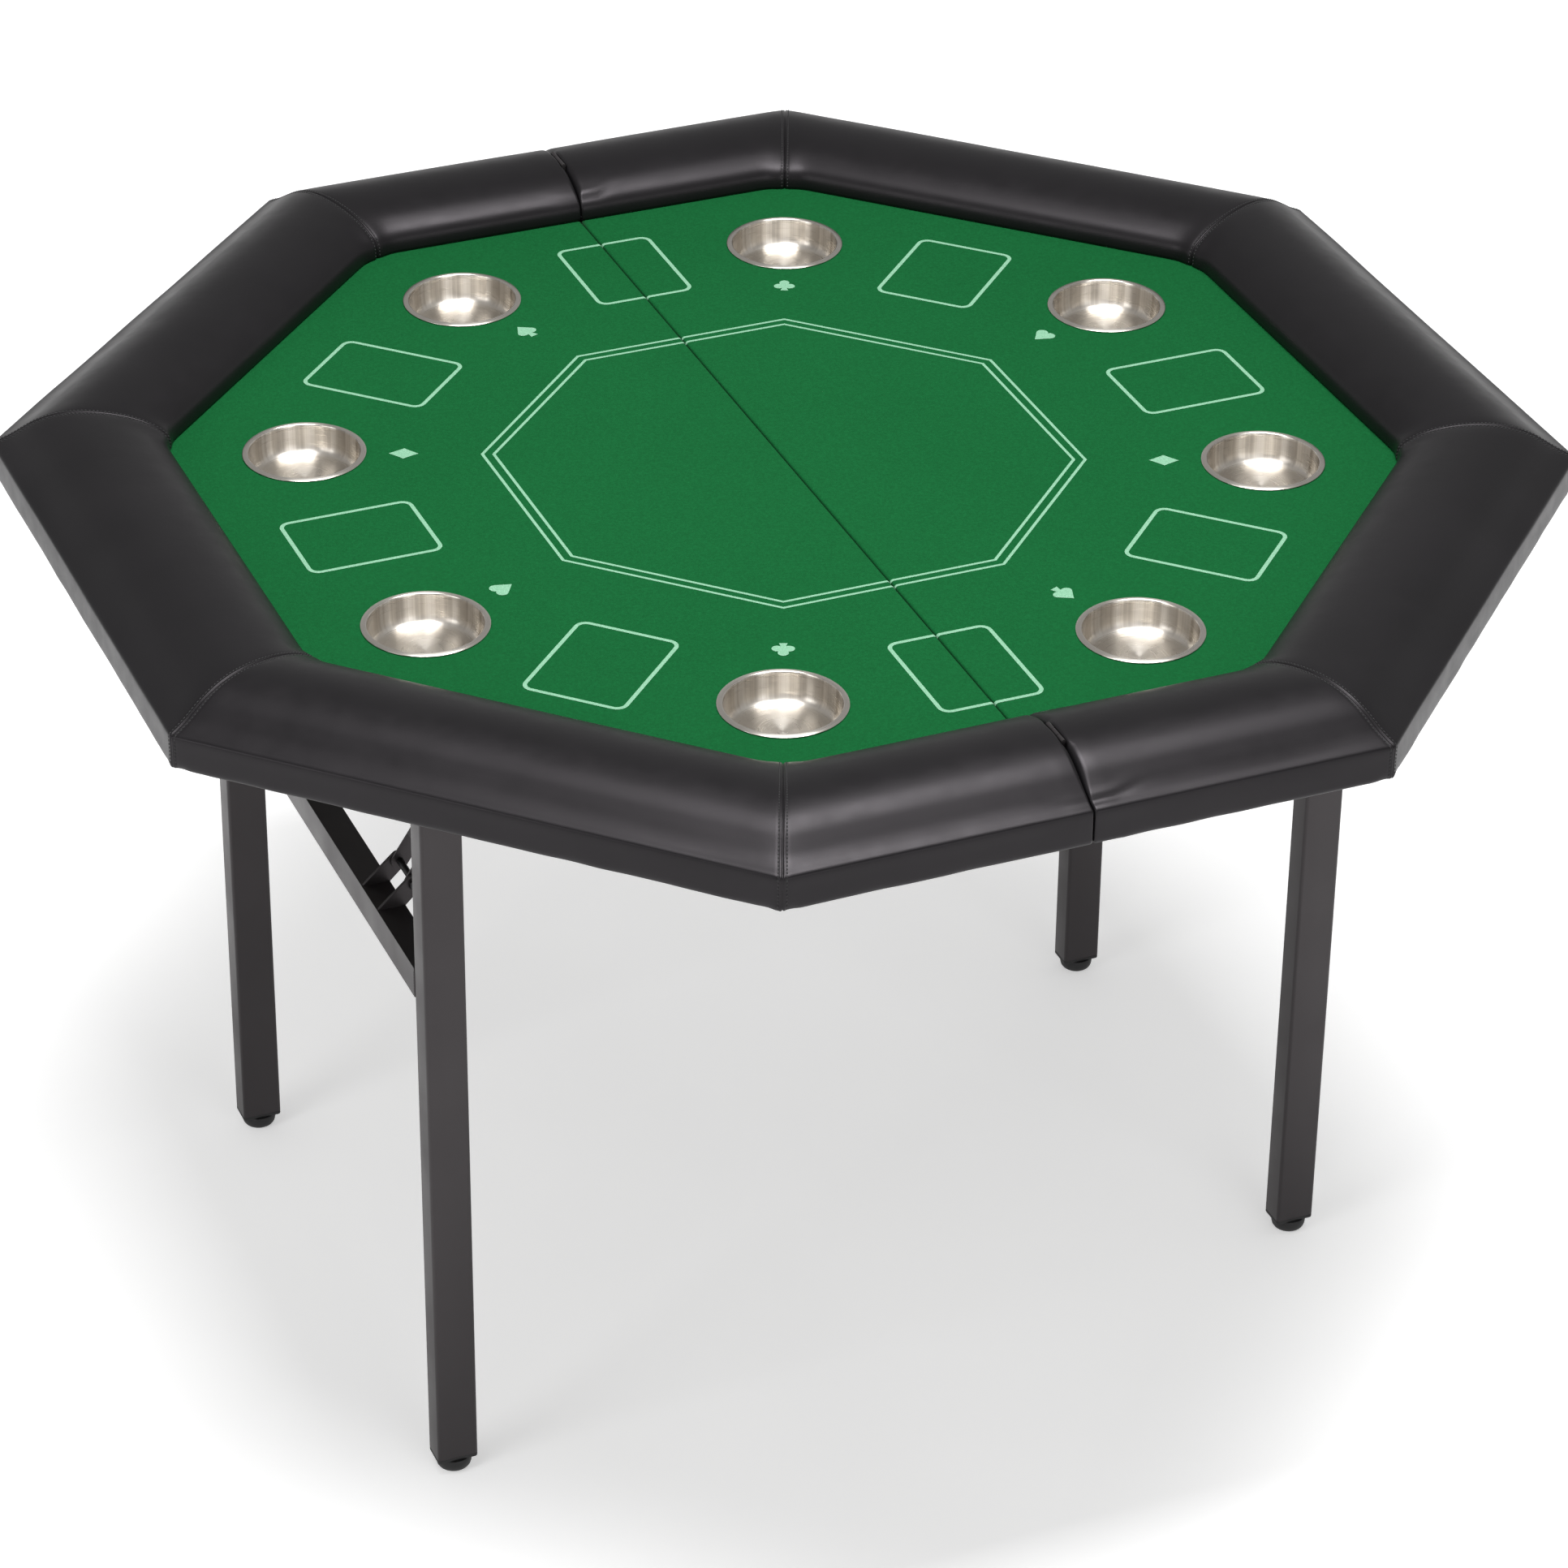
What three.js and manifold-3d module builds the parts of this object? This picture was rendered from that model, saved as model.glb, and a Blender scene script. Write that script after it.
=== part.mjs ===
// Octagonal folding card table for eight players.
// Two half tops meet at a seam along Y and fold felt to felt on barrel hinges set in the rail.
// Each half carries a steel leg frame that folds inward, held open by two stays.
// Millimetres, +Z up, origin on the floor under the middle of the table.
import * as THREE from 'three';
import { mergeVertices } from 'three/addons/utils/BufferGeometryUtils.js';
import Module from 'manifold-3d';

const wasm = await Module();
wasm.setup();

// ---------- driving dimensions ----------
const TOP_ACROSS_FLATS = 1206;
const RAIL_WIDTH = 130;
const FELT_Z = 742;
const FELT_THICK = 2.7;
const BOARD_THICK = 18;
const RAIL_CREST = 34;
const SEAM_HALF_GAP = 1;
const TOUCH_GAP = 0.3;

const CUP_CIRCLE = 396;
const CUP_OPENING_R = 46;
const CUP_FLANGE_R = 51.3;
const CUP_DEPTH = 24.3;

const LEG_HINGE_X = 400;
const LEG_DEPTH = 35;
const LEG_WIDTH = 25;
const TUBE_WALL = 1.5;
const TUBE_CORNER_R = 3;
const GLIDE_HEIGHT = 13;

const BAR_WIDTH = 24;
const BAR_BOTTOM_Z = 466;
const BAR_HEIGHT = 28;

const STAY_LENGTH = 235;
const STAY_RISE_DEG = 56.5;
const STAY_WIDTH = 34;
const STAY_DEPTH = 15;
const STAY_PIVOT = { inboard: 15, z: 512 };

const FRAMES = {
  left: { legY: 265, stayY: 142, hingeZ: 697 },
  right: { legY: 223, stayY: 100, hingeZ: 660 },
};

// ---------- derived sizes ----------
const OUTER_APOTHEM = TOP_ACROSS_FLATS / 2;
const FELT_APOTHEM = OUTER_APOTHEM - RAIL_WIDTH;
const BOARD_INSET = 2;
const BOARD_TOP = FELT_Z - FELT_THICK - TOUCH_GAP;
const BOARD_BOTTOM = BOARD_TOP - BOARD_THICK;
const UNDERSIDE = BOARD_BOTTOM - TOUCH_GAP;
const HINGE_Z = FELT_Z + RAIL_CREST + 0.4;
const MITRE = Math.tan(Math.PI / 8);
const LEG_BOTTOM_Z = GLIDE_HEIGHT + 2.7 + TOUCH_GAP;
const ROUND_SEGMENTS = 20;
const PIN_SEGMENTS = 16;

// ---------- solids ----------
function solid(geometry) {
  const bare = geometry.index ? geometry.toNonIndexed() : geometry.clone();
  bare.deleteAttribute('normal');
  bare.deleteAttribute('uv');
  const merged = mergeVertices(bare, 1e-4);
  return new wasm.Manifold(new wasm.Mesh({
    numProp: 3,
    vertProperties: new Float32Array(merged.attributes.position.array),
    triVerts: new Uint32Array(merged.index.array),
  }));
}

function geometryOf(body) {
  const mesh = body.getMesh();
  const geometry = new THREE.BufferGeometry();
  geometry.setAttribute('position', new THREE.BufferAttribute(mesh.vertProperties, 3));
  geometry.setIndex(new THREE.BufferAttribute(mesh.triVerts, 1));
  geometry.computeVertexNormals();
  return geometry;
}

function join(...bodies) {
  return bodies.reduce((sum, body) => sum.add(body));
}

function cut(body, ...tools) {
  return tools.reduce((rest, tool) => rest.subtract(tool), body);
}

function box(x0, x1, y0, y1, z0, z1) {
  const geometry = new THREE.BoxGeometry(x1 - x0, y1 - y0, z1 - z0);
  geometry.translate((x0 + x1) / 2, (y0 + y1) / 2, (z0 + z1) / 2);
  return solid(geometry);
}

function rodAlongY(radius, x, z, y0, y1, segments = PIN_SEGMENTS) {
  const geometry = new THREE.CylinderGeometry(radius, radius, y1 - y0, segments);
  geometry.translate(x, (y0 + y1) / 2, z);
  return solid(geometry);
}

function extrudeAlongZ(shape, z0, z1, curveSegments = 3) {
  const geometry = new THREE.ExtrudeGeometry(shape, { depth: z1 - z0, bevelEnabled: false, curveSegments });
  geometry.translate(0, 0, z0);
  return solid(geometry);
}

// The shape is drawn in X and Z.
function extrudeAlongY(shape, y0, y1, curveSegments = 5) {
  const geometry = new THREE.ExtrudeGeometry(shape, { depth: y1 - y0, bevelEnabled: false, curveSegments });
  geometry.rotateX(Math.PI / 2);
  geometry.translate(0, y1, 0);
  return solid(geometry);
}

function turnedAboutZ(profile, segments = ROUND_SEGMENTS) {
  const points = profile.map(([r, z]) => new THREE.Vector2(r, z));
  const geometry = new THREE.LatheGeometry(points, segments);
  geometry.rotateX(Math.PI / 2);
  return solid(geometry);
}

function roundedRectangle(width, height, radius) {
  const x = width / 2;
  const y = height / 2;
  const shape = new THREE.Shape();
  shape.moveTo(-x + radius, -y);
  shape.lineTo(x - radius, -y);
  shape.absarc(x - radius, -y + radius, radius, -Math.PI / 2, 0);
  shape.lineTo(x, y - radius);
  shape.absarc(x - radius, y - radius, radius, 0, Math.PI / 2);
  shape.lineTo(-x + radius, y);
  shape.absarc(-x + radius, y - radius, radius, Math.PI / 2, Math.PI);
  shape.lineTo(-x, -y + radius);
  shape.absarc(-x + radius, -y + radius, radius, Math.PI, 1.5 * Math.PI);
  return shape;
}

// ---------- materials ----------
const finishes = {
  board: new THREE.MeshStandardMaterial({ color: 0x2a2420, roughness: 0.85, metalness: 0 }),
  felt: new THREE.MeshStandardMaterial({ color: 0x15683a, roughness: 0.95, metalness: 0 }),
  vinyl: new THREE.MeshStandardMaterial({ color: 0x343436, roughness: 0.45, metalness: 0 }),
  stainless: new THREE.MeshStandardMaterial({ color: 0xc4beb6, roughness: 0.3, metalness: 1 }),
  paintedSteel: new THREE.MeshStandardMaterial({ color: 0x373232, roughness: 0.55, metalness: 0.6 }),
  blackPlastic: new THREE.MeshStandardMaterial({ color: 0x161616, roughness: 0.6, metalness: 0 }),
  zincSteel: new THREE.MeshStandardMaterial({ color: 0x3c3c3e, roughness: 0.4, metalness: 0.9 }),
};

const table = new THREE.Group();

function addPart(name, body, material, parent = table) {
  const mesh = new THREE.Mesh(geometryOf(body), material);
  mesh.name = name;
  parent.add(mesh);
  return mesh;
}

// ---------- half tops ----------
// side is -1 for the left half and +1 for the right half.
function halfOctagon(side, apothem, holeRadius) {
  const corner = apothem * MITRE;
  const outline = [
    [SEAM_HALF_GAP, -apothem],
    [corner, -apothem],
    [apothem, -corner],
    [apothem, corner],
    [corner, apothem],
    [SEAM_HALF_GAP, apothem],
  ];
  const shape = new THREE.Shape(outline.map(([x, y]) => new THREE.Vector2(side * x, y)));
  for (const [x, y] of cupCentres(side)) {
    const hole = new THREE.Path();
    hole.absarc(x, y, holeRadius, 0, 2 * Math.PI);
    shape.holes.push(hole);
  }
  return shape;
}

function cupCentres(side) {
  return [-67.5, -22.5, 22.5, 67.5].map((degrees) => {
    const angle = degrees * Math.PI / 180;
    return [side * CUP_CIRCLE * Math.cos(angle), CUP_CIRCLE * Math.sin(angle)];
  });
}

const CUP_PLACES = ['front', 'front_side', 'back_side', 'back'];

// Outline of the padded rail: distance out from the felt edge, height above the felt.
const RAIL_PROFILE = [
  [TOUCH_GAP, -FELT_THICK],
  [3, 11],
  [9.5, 21],
  [21.5, 28.5],
  [44.5, 33],
  [67.5, RAIL_CREST],
  [90.5, 30.5],
  [109, 19],
  [121, 11],
  [128, 8],
  [RAIL_WIDTH, 6],
  [RAIL_WIDTH, -FELT_THICK],
];

// One straight length of rail whose outward direction is given in degrees,
// mitred where it meets its neighbours and square where it ends at the seam.
function railLength(side, degrees) {
  const angle = degrees * Math.PI / 180;
  const outward = new THREE.Vector2(Math.cos(angle), Math.sin(angle));
  const along = new THREE.Vector2(-outward.y, outward.x);
  const ring = (sign) => RAIL_PROFILE.map(([out, up]) => {
    const apothem = FELT_APOTHEM + out;
    const reach = sign * (apothem * MITRE - TOUCH_GAP / 2);
    return [
      outward.x * apothem + along.x * reach,
      outward.y * apothem + along.y * reach,
      FELT_Z + up,
    ];
  });
  const count = RAIL_PROFILE.length;
  const positions = [...ring(-1), ...ring(1)].flat();
  const index = [];
  for (let i = 0; i < count; i += 1) {
    const next = (i + 1) % count;
    index.push(i, next, count + i);
    index.push(next, count + next, count + i);
  }
  for (let i = 1; i < count - 1; i += 1) {
    index.push(0, i + 1, i);
    index.push(count, count + i, count + i + 1);
  }
  const geometry = new THREE.BufferGeometry();
  geometry.setAttribute('position', new THREE.BufferAttribute(new Float32Array(positions), 3));
  geometry.setIndex(index);
  const rail = solid(geometry);
  const endsAtSeam = Math.abs(outward.x) < 0.01;
  return endsAtSeam ? rail.intersect(seamEnvelope(side)) : rail;
}

// Everything on one side of the seam, with the groove that the wrapped rail ends leave.
function seamEnvelope(side) {
  const squareEnd = 2.2;
  const grooveDepth = 7;
  const grooveHalfWidth = 8;
  const crest = FELT_Z + RAIL_CREST;
  const shape = new THREE.Shape([
    new THREE.Vector2(side * squareEnd, 0),
    new THREE.Vector2(side * squareEnd, crest - grooveDepth),
    new THREE.Vector2(side * grooveHalfWidth, crest),
    new THREE.Vector2(side * OUTER_APOTHEM, crest + 1),
    new THREE.Vector2(side * OUTER_APOTHEM, 0),
  ]);
  return extrudeAlongY(shape, -OUTER_APOTHEM - 1, OUTER_APOTHEM + 1);
}

const RAIL_PLACES = {
  left: { front_end: -90, front_corner: -135, side: 180, back_corner: 135, back_end: 90 },
  right: { front_end: -90, front_corner: -45, side: 0, back_corner: 45, back_end: 90 },
};

function drinkCup(x, y) {
  const wall = 1;
  const inner = CUP_OPENING_R;
  const outer = inner + wall;
  const cup = turnedAboutZ([
    [0, -CUP_DEPTH - wall],
    [outer - 2.5, -CUP_DEPTH - wall],
    [outer, -CUP_DEPTH + 1.5],
    [outer, TOUCH_GAP],
    [CUP_FLANGE_R, TOUCH_GAP],
    [CUP_FLANGE_R, 1.4],
    [CUP_FLANGE_R - 1.8, 2.6],
    [inner + 1, 2.6],
    [inner, 1],
    [inner, -CUP_DEPTH + 2],
    [inner - 2, -CUP_DEPTH],
    [0, -CUP_DEPTH],
  ]);
  return cup.translate([x, y, FELT_Z]);
}

function buildHalfTop(sideName) {
  const side = sideName === 'left' ? -1 : 1;
  const holeRadius = CUP_OPENING_R + 1.8;
  const boardShape = halfOctagon(side, OUTER_APOTHEM - BOARD_INSET, holeRadius);
  const feltShape = halfOctagon(side, FELT_APOTHEM, holeRadius + 0.4);
  addPart(`${sideName}_board`, extrudeAlongZ(boardShape, BOARD_BOTTOM, BOARD_TOP, 10), finishes.board);
  const felt = extrudeAlongZ(feltShape, BOARD_TOP + TOUCH_GAP, FELT_Z, 10);
  addPart(`${sideName}_felt`, felt, finishes.felt);
  for (const [place, degrees] of Object.entries(RAIL_PLACES[sideName])) {
    addPart(`${sideName}_rail_${place}`, railLength(side, degrees), finishes.vinyl);
  }
  cupCentres(side).forEach(([x, y], i) => {
    addPart(`${sideName}_cup_${CUP_PLACES[i]}`, drinkCup(x, y), finishes.stainless);
  });
}

// ---------- seam hinges and catch ----------
const KNUCKLE_R = 2;
const SEAM_HINGE_LENGTH = 28;
const SEAM_HINGE_OUT = 59;
const SEAM_PIN_R = 1;
const LEAF_GAP = 0.3;
const LEAF_THICK = 1.3;
const LEAF_DROP = 31;

function hingeLeaf(side, centreY, knuckleSpans, otherSpans) {
  const y0 = centreY - SEAM_HINGE_LENGTH / 2;
  const y1 = centreY + SEAM_HINGE_LENGTH / 2;
  const near = side * LEAF_GAP;
  const far = side * (LEAF_GAP + LEAF_THICK);
  const plate = box(Math.min(near, far), Math.max(near, far), y0, y1, HINGE_Z - LEAF_DROP, HINGE_Z);
  const clearances = [...knuckleSpans, ...otherSpans].map(([a, b]) => (
    rodAlongY(KNUCKLE_R + 0.4, 0, HINGE_Z, centreY + a - LEAF_GAP, centreY + b + LEAF_GAP)
  ));
  const knuckles = knuckleSpans.map(([a, b]) => {
    const barrel = rodAlongY(KNUCKLE_R, 0, HINGE_Z, centreY + a, centreY + b);
    const [x0, x1] = [Math.min(near, far), Math.max(near, far)];
    const neck = box(x0, x1, centreY + a, centreY + b, HINGE_Z - 4, HINGE_Z);
    return join(barrel, neck);
  });
  const bore = rodAlongY(SEAM_PIN_R + 0.1, 0, HINGE_Z, y0 - 1, y1 + 1);
  return cut(join(cut(plate, ...clearances), ...knuckles), bore);
}

function buildSeamHinge(place, centreY) {
  const reach = SEAM_HINGE_LENGTH / 2;
  const third = SEAM_HINGE_LENGTH / 6;
  const outerSpans = [[-reach, -third - LEAF_GAP], [third + LEAF_GAP, reach]];
  const middleSpan = [[-third, third]];
  addPart(`${place}_hinge_left_leaf`, hingeLeaf(-1, centreY, outerSpans, middleSpan), finishes.zincSteel);
  addPart(`${place}_hinge_right_leaf`, hingeLeaf(1, centreY, middleSpan, outerSpans), finishes.zincSteel);
  const pin = rodAlongY(SEAM_PIN_R, 0, HINGE_Z, centreY - reach, centreY + reach);
  addPart(`${place}_hinge_pin`, pin, finishes.zincSteel);
}

function buildSeamCatch() {
  const catchCase = box(-19, -1, -17, 17, UNDERSIDE - 9, UNDERSIDE);
  addPart('seam_catch', catchCase, finishes.blackPlastic);
  const strikePlate = box(-0.4, 16, -15, 15, UNDERSIDE - 2, UNDERSIDE);
  const strikeLip = box(-0.4, 1.2, -15, 15, UNDERSIDE - 9, UNDERSIDE);
  addPart('seam_catch_strike', join(strikePlate, strikeLip), finishes.zincSteel);
}

// ---------- leg frames ----------
// Frames are drawn on the left side, where inboard is +X, and turned half round for the right.
const LEG_PIVOT_R = 4;
const STAY_PIVOT_R = 3;
const PIVOT_CLEARANCE = 0.1;

function legTube(frame, y) {
  const outline = new THREE.Shape();
  const reach = LEG_DEPTH / 2;
  outline.moveTo(-reach, LEG_BOTTOM_Z);
  outline.lineTo(reach, LEG_BOTTOM_Z);
  outline.lineTo(reach, frame.hingeZ);
  outline.absarc(0, frame.hingeZ, reach, 0, Math.PI);
  const roundedTop = extrudeAlongY(outline, -LEG_WIDTH, LEG_WIDTH);
  const top = frame.hingeZ + LEG_DEPTH;
  const outside = roundedRectangle(LEG_DEPTH, LEG_WIDTH, TUBE_CORNER_R);
  const inside = roundedRectangle(
    LEG_DEPTH - 2 * TUBE_WALL,
    LEG_WIDTH - 2 * TUBE_WALL,
    TUBE_CORNER_R - TUBE_WALL,
  );
  const tube = extrudeAlongZ(outside, 0, top).intersect(roundedTop);
  const bore = rodAlongY(LEG_PIVOT_R + PIVOT_CLEARANCE, 0, frame.hingeZ, -LEG_WIDTH, LEG_WIDTH);
  return cut(tube, extrudeAlongZ(inside, -1, top + 1), bore).translate([-LEG_HINGE_X, y, 0]);
}

function footGlide(y) {
  const lip = extrudeAlongZ(
    roundedRectangle(LEG_DEPTH, LEG_WIDTH, TUBE_CORNER_R),
    GLIDE_HEIGHT - 0.5,
    LEG_BOTTOM_Z - TOUCH_GAP,
  );
  const plugGap = TUBE_WALL + TOUCH_GAP;
  const plug = extrudeAlongZ(
    roundedRectangle(LEG_DEPTH - 2 * plugGap, LEG_WIDTH - 2 * plugGap, 1),
    GLIDE_HEIGHT,
    LEG_BOTTOM_Z + 18,
  );
  const dome = turnedAboutZ([
    [0, 0],
    [9, 0],
    [12.4, 1.5],
    [14.5, 4.6],
    [15, 8],
    [15, GLIDE_HEIGHT],
    [0, GLIDE_HEIGHT],
  ]);
  return join(lip, plug, dome).translate([-LEG_HINGE_X, y, 0]);
}

function legBracket(frame, y) {
  const earGap = LEG_WIDTH / 2 + 1;
  const earThick = 3;
  const outer = earGap + earThick;
  const earReach = 14;
  const webReach = 26;
  const web = box(-webReach, webReach, -outer, outer, UNDERSIDE - 3, UNDERSIDE);
  const ears = [[-outer, -earGap], [earGap, outer]].map(([y0, y1]) => {
    const plate = box(-earReach, earReach, y0, y1, frame.hingeZ, UNDERSIDE);
    return join(plate, rodAlongY(earReach, 0, frame.hingeZ, y0, y1));
  });
  const bore = rodAlongY(LEG_PIVOT_R + TOUCH_GAP, 0, frame.hingeZ, -outer - 1, outer + 1);
  return cut(join(web, ...ears), bore).translate([-LEG_HINGE_X, y, 0]);
}

function pivotBolt(radius, headRadius, x, z, y, halfLength, headThick) {
  const shank = rodAlongY(radius, x, z, y - halfLength, y + halfLength);
  const head = rodAlongY(headRadius, x, z, y - halfLength - headThick, y - halfLength, 6);
  const nut = rodAlongY(headRadius, x, z, y + halfLength, y + halfLength + headThick, 6);
  return join(shank, head, nut);
}

const STAY_EAR_GAP = STAY_WIDTH / 2 + 0.7;
const STAY_EAR_THICK = 3;
const STAY_EAR_R = 8;

function crossBar(frame) {
  const outerFace = -LEG_DEPTH / 2;
  const innerFace = outerFace + BAR_WIDTH;
  const reach = frame.legY - LEG_WIDTH / 2 - TOUCH_GAP;
  const top = BAR_BOTTOM_Z + BAR_HEIGHT;
  const bar = cut(
    box(outerFace, innerFace, -reach, reach, BAR_BOTTOM_Z, top),
    box(
      outerFace + TUBE_WALL,
      innerFace - TUBE_WALL,
      -reach - 1,
      reach + 1,
      BAR_BOTTOM_Z + TUBE_WALL,
      top - TUBE_WALL,
    ),
  );
  const earShape = new THREE.Shape();
  earShape.moveTo(outerFace, top - 1);
  earShape.lineTo(innerFace, top - 1);
  earShape.absarc(STAY_PIVOT.inboard, STAY_PIVOT.z, STAY_EAR_R, -Math.PI / 3, 0.7 * Math.PI);
  const ears = [];
  for (const stayY of [-frame.stayY, frame.stayY]) {
    for (const y of [stayY - STAY_EAR_GAP - STAY_EAR_THICK, stayY + STAY_EAR_GAP]) {
      ears.push(extrudeAlongY(earShape, y, y + STAY_EAR_THICK));
    }
  }
  const bore = rodAlongY(STAY_PIVOT_R + TOUCH_GAP, STAY_PIVOT.inboard, STAY_PIVOT.z, -reach, reach);
  return cut(join(bar, ...ears), bore).translate([-LEG_HINGE_X, 0, 0]);
}

// Drawn lying along +X with its pivot at the origin and its web on top, then raised.
function stayChannel(y) {
  const reach = STAY_WIDTH / 2;
  const depth = STAY_DEPTH / 2;
  const flangeShape = new THREE.Shape();
  flangeShape.absarc(0, 0, depth, Math.PI / 2, 1.5 * Math.PI);
  flangeShape.absarc(STAY_LENGTH, 0, depth, -Math.PI / 2, Math.PI / 2);
  const flanges = [[-reach, -reach + TUBE_WALL], [reach - TUBE_WALL, reach]].map(([y0, y1]) => (
    extrudeAlongY(flangeShape, y0, y1)
  ));
  const web = box(24, STAY_LENGTH - 3, -reach, reach, depth - TUBE_WALL, depth);
  const tipPin = rodAlongY(STAY_PIVOT_R, STAY_LENGTH, 0, -reach - 5, reach + 5);
  const bore = rodAlongY(STAY_PIVOT_R + PIVOT_CLEARANCE, 0, 0, -reach - 1, reach + 1);
  return cut(join(...flanges, web, tipPin), bore)
    .rotate([0, -STAY_RISE_DEG, 0])
    .translate([STAY_PIVOT.inboard - LEG_HINGE_X, y, STAY_PIVOT.z]);
}

// Open on its inboard side, so that the tip pin of the stay can leave it.
function stayKeeper(y) {
  const rise = STAY_RISE_DEG * Math.PI / 180;
  const tipX = STAY_PIVOT.inboard + STAY_LENGTH * Math.cos(rise);
  const tipZ = STAY_PIVOT.z + STAY_LENGTH * Math.sin(rise);
  const earGap = STAY_WIDTH / 2 + 1;
  const outer = earGap + 3;
  const back = tipX - 10;
  const front = tipX + 9;
  const earBottom = tipZ - 13;
  const web = box(back - 12, front, -outer, outer, UNDERSIDE - 2.5, UNDERSIDE);
  const ears = [[-outer, -earGap], [earGap, outer]].map(([y0, y1]) => (
    box(back, front, y0, y1, earBottom, UNDERSIDE)
  ));
  const notch = box(tipX - 3.4, front + 1, -outer - 1, outer + 1, tipZ - 7.5, tipZ + 3.4);
  return cut(join(web, ...ears), notch).translate([-LEG_HINGE_X, y, 0]);
}

function buildLegFrame(sideName) {
  const frame = FRAMES[sideName];
  const group = new THREE.Group();
  if (sideName === 'right') group.rotation.z = Math.PI;
  table.add(group);
  const boltHalf = LEG_WIDTH / 2 + 4.3;
  const stayBoltHalf = STAY_EAR_GAP + STAY_EAR_THICK + TOUCH_GAP;
  for (const drawnSide of [-1, 1]) {
    const atFront = (sideName === 'left') === (drawnSide < 0);
    const place = `${sideName}_${atFront ? 'front' : 'back'}`;
    const legY = drawnSide * frame.legY;
    const stayY = drawnSide * frame.stayY;
    const legBolt = pivotBolt(LEG_PIVOT_R, 7, -LEG_HINGE_X, frame.hingeZ, legY, boltHalf, 4);
    const stayBolt = pivotBolt(
      STAY_PIVOT_R,
      5.5,
      STAY_PIVOT.inboard - LEG_HINGE_X,
      STAY_PIVOT.z,
      stayY,
      stayBoltHalf,
      3,
    );
    addPart(`${place}_leg`, legTube(frame, legY), finishes.paintedSteel, group);
    addPart(`${place}_foot_glide`, footGlide(legY), finishes.blackPlastic, group);
    addPart(`${place}_leg_bracket`, legBracket(frame, legY), finishes.paintedSteel, group);
    addPart(`${place}_leg_bolt`, legBolt, finishes.zincSteel, group);
    addPart(`${place}_stay`, stayChannel(stayY), finishes.paintedSteel, group);
    addPart(`${place}_stay_bolt`, stayBolt, finishes.zincSteel, group);
    addPart(`${place}_stay_keeper`, stayKeeper(stayY), finishes.paintedSteel, group);
  }
  addPart(`${sideName}_cross_bar`, crossBar(frame), finishes.paintedSteel, group);
}

// ---------- assembly ----------
for (const sideName of ['left', 'right']) {
  buildHalfTop(sideName);
  buildLegFrame(sideName);
}
buildSeamHinge('front', -FELT_APOTHEM - SEAM_HINGE_OUT);
buildSeamHinge('back', FELT_APOTHEM + SEAM_HINGE_OUT);
buildSeamCatch();

export default table;
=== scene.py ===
import math

import bmesh
import bpy
import numpy as np
from mathutils import Matrix, Vector
from mathutils.geometry import tessellate_polygon


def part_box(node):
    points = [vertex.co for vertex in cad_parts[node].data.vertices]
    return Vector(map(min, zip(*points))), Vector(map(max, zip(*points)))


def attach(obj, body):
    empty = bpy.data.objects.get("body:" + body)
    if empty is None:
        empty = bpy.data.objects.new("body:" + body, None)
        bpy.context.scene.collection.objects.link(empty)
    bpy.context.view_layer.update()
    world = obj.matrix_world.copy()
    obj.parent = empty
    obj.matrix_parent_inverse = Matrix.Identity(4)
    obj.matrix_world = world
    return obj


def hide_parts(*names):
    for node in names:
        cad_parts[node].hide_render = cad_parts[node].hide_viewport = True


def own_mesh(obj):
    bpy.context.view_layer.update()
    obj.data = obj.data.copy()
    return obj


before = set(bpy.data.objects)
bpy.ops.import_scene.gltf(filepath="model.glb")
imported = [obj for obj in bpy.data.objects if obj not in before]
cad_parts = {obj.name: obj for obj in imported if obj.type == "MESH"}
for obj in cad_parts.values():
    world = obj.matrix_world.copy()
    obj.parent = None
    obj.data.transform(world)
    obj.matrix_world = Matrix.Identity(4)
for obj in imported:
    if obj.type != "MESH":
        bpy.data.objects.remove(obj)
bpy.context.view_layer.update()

# ---------- sizes taken from the frame, in metres ----------
MM = 0.001
FELT_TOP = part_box("right_felt")[1].z
FELT_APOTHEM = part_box("right_felt")[1].x
OUTER_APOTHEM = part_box("right_rail_side")[1].x
COVER_CREST = FELT_TOP + 38 * MM
BOARD_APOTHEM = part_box("right_board")[1].x
BOARD_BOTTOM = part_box("right_board")[0].z
MITRE = math.tan(math.pi / 8)
SIDES = {"left": -1, "right": 1}
ROWS = ("front", "back")
CUP_PLACES = ("front", "front_side", "back_side", "back")
CUP_FLANGE_R = (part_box("right_cup_front")[1].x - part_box("right_cup_front")[0].x) / 2
HINGE_START, HINGE_END = (abs(corner.y) - FELT_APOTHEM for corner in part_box("back_hinge_left_leaf"))


# ---------- small mathematics ----------
def smooth_step(low, high, value):
    share = np.clip((np.asarray(value, float) - low) / (high - low), 0, 1)
    return share * share * (3 - 2 * share)


def bump_at(value, centre, width):
    """A soft hill of height 1 at centre."""
    return np.exp(-(((np.asarray(value, float) - centre) / width) ** 2))


def ripple(position, wavelength, seed):
    """Random smooth waves between -1 and 1, the same for the same seed."""
    values = np.random.RandomState(seed).uniform(-1, 1, 512)
    place = np.asarray(position, float) / wavelength + 1000
    cell = np.floor(place).astype(int)
    share = place - cell
    share = share * share * (3 - 2 * share)
    return values[cell % 512] * (1 - share) + values[(cell + 1) % 512] * share


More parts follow.
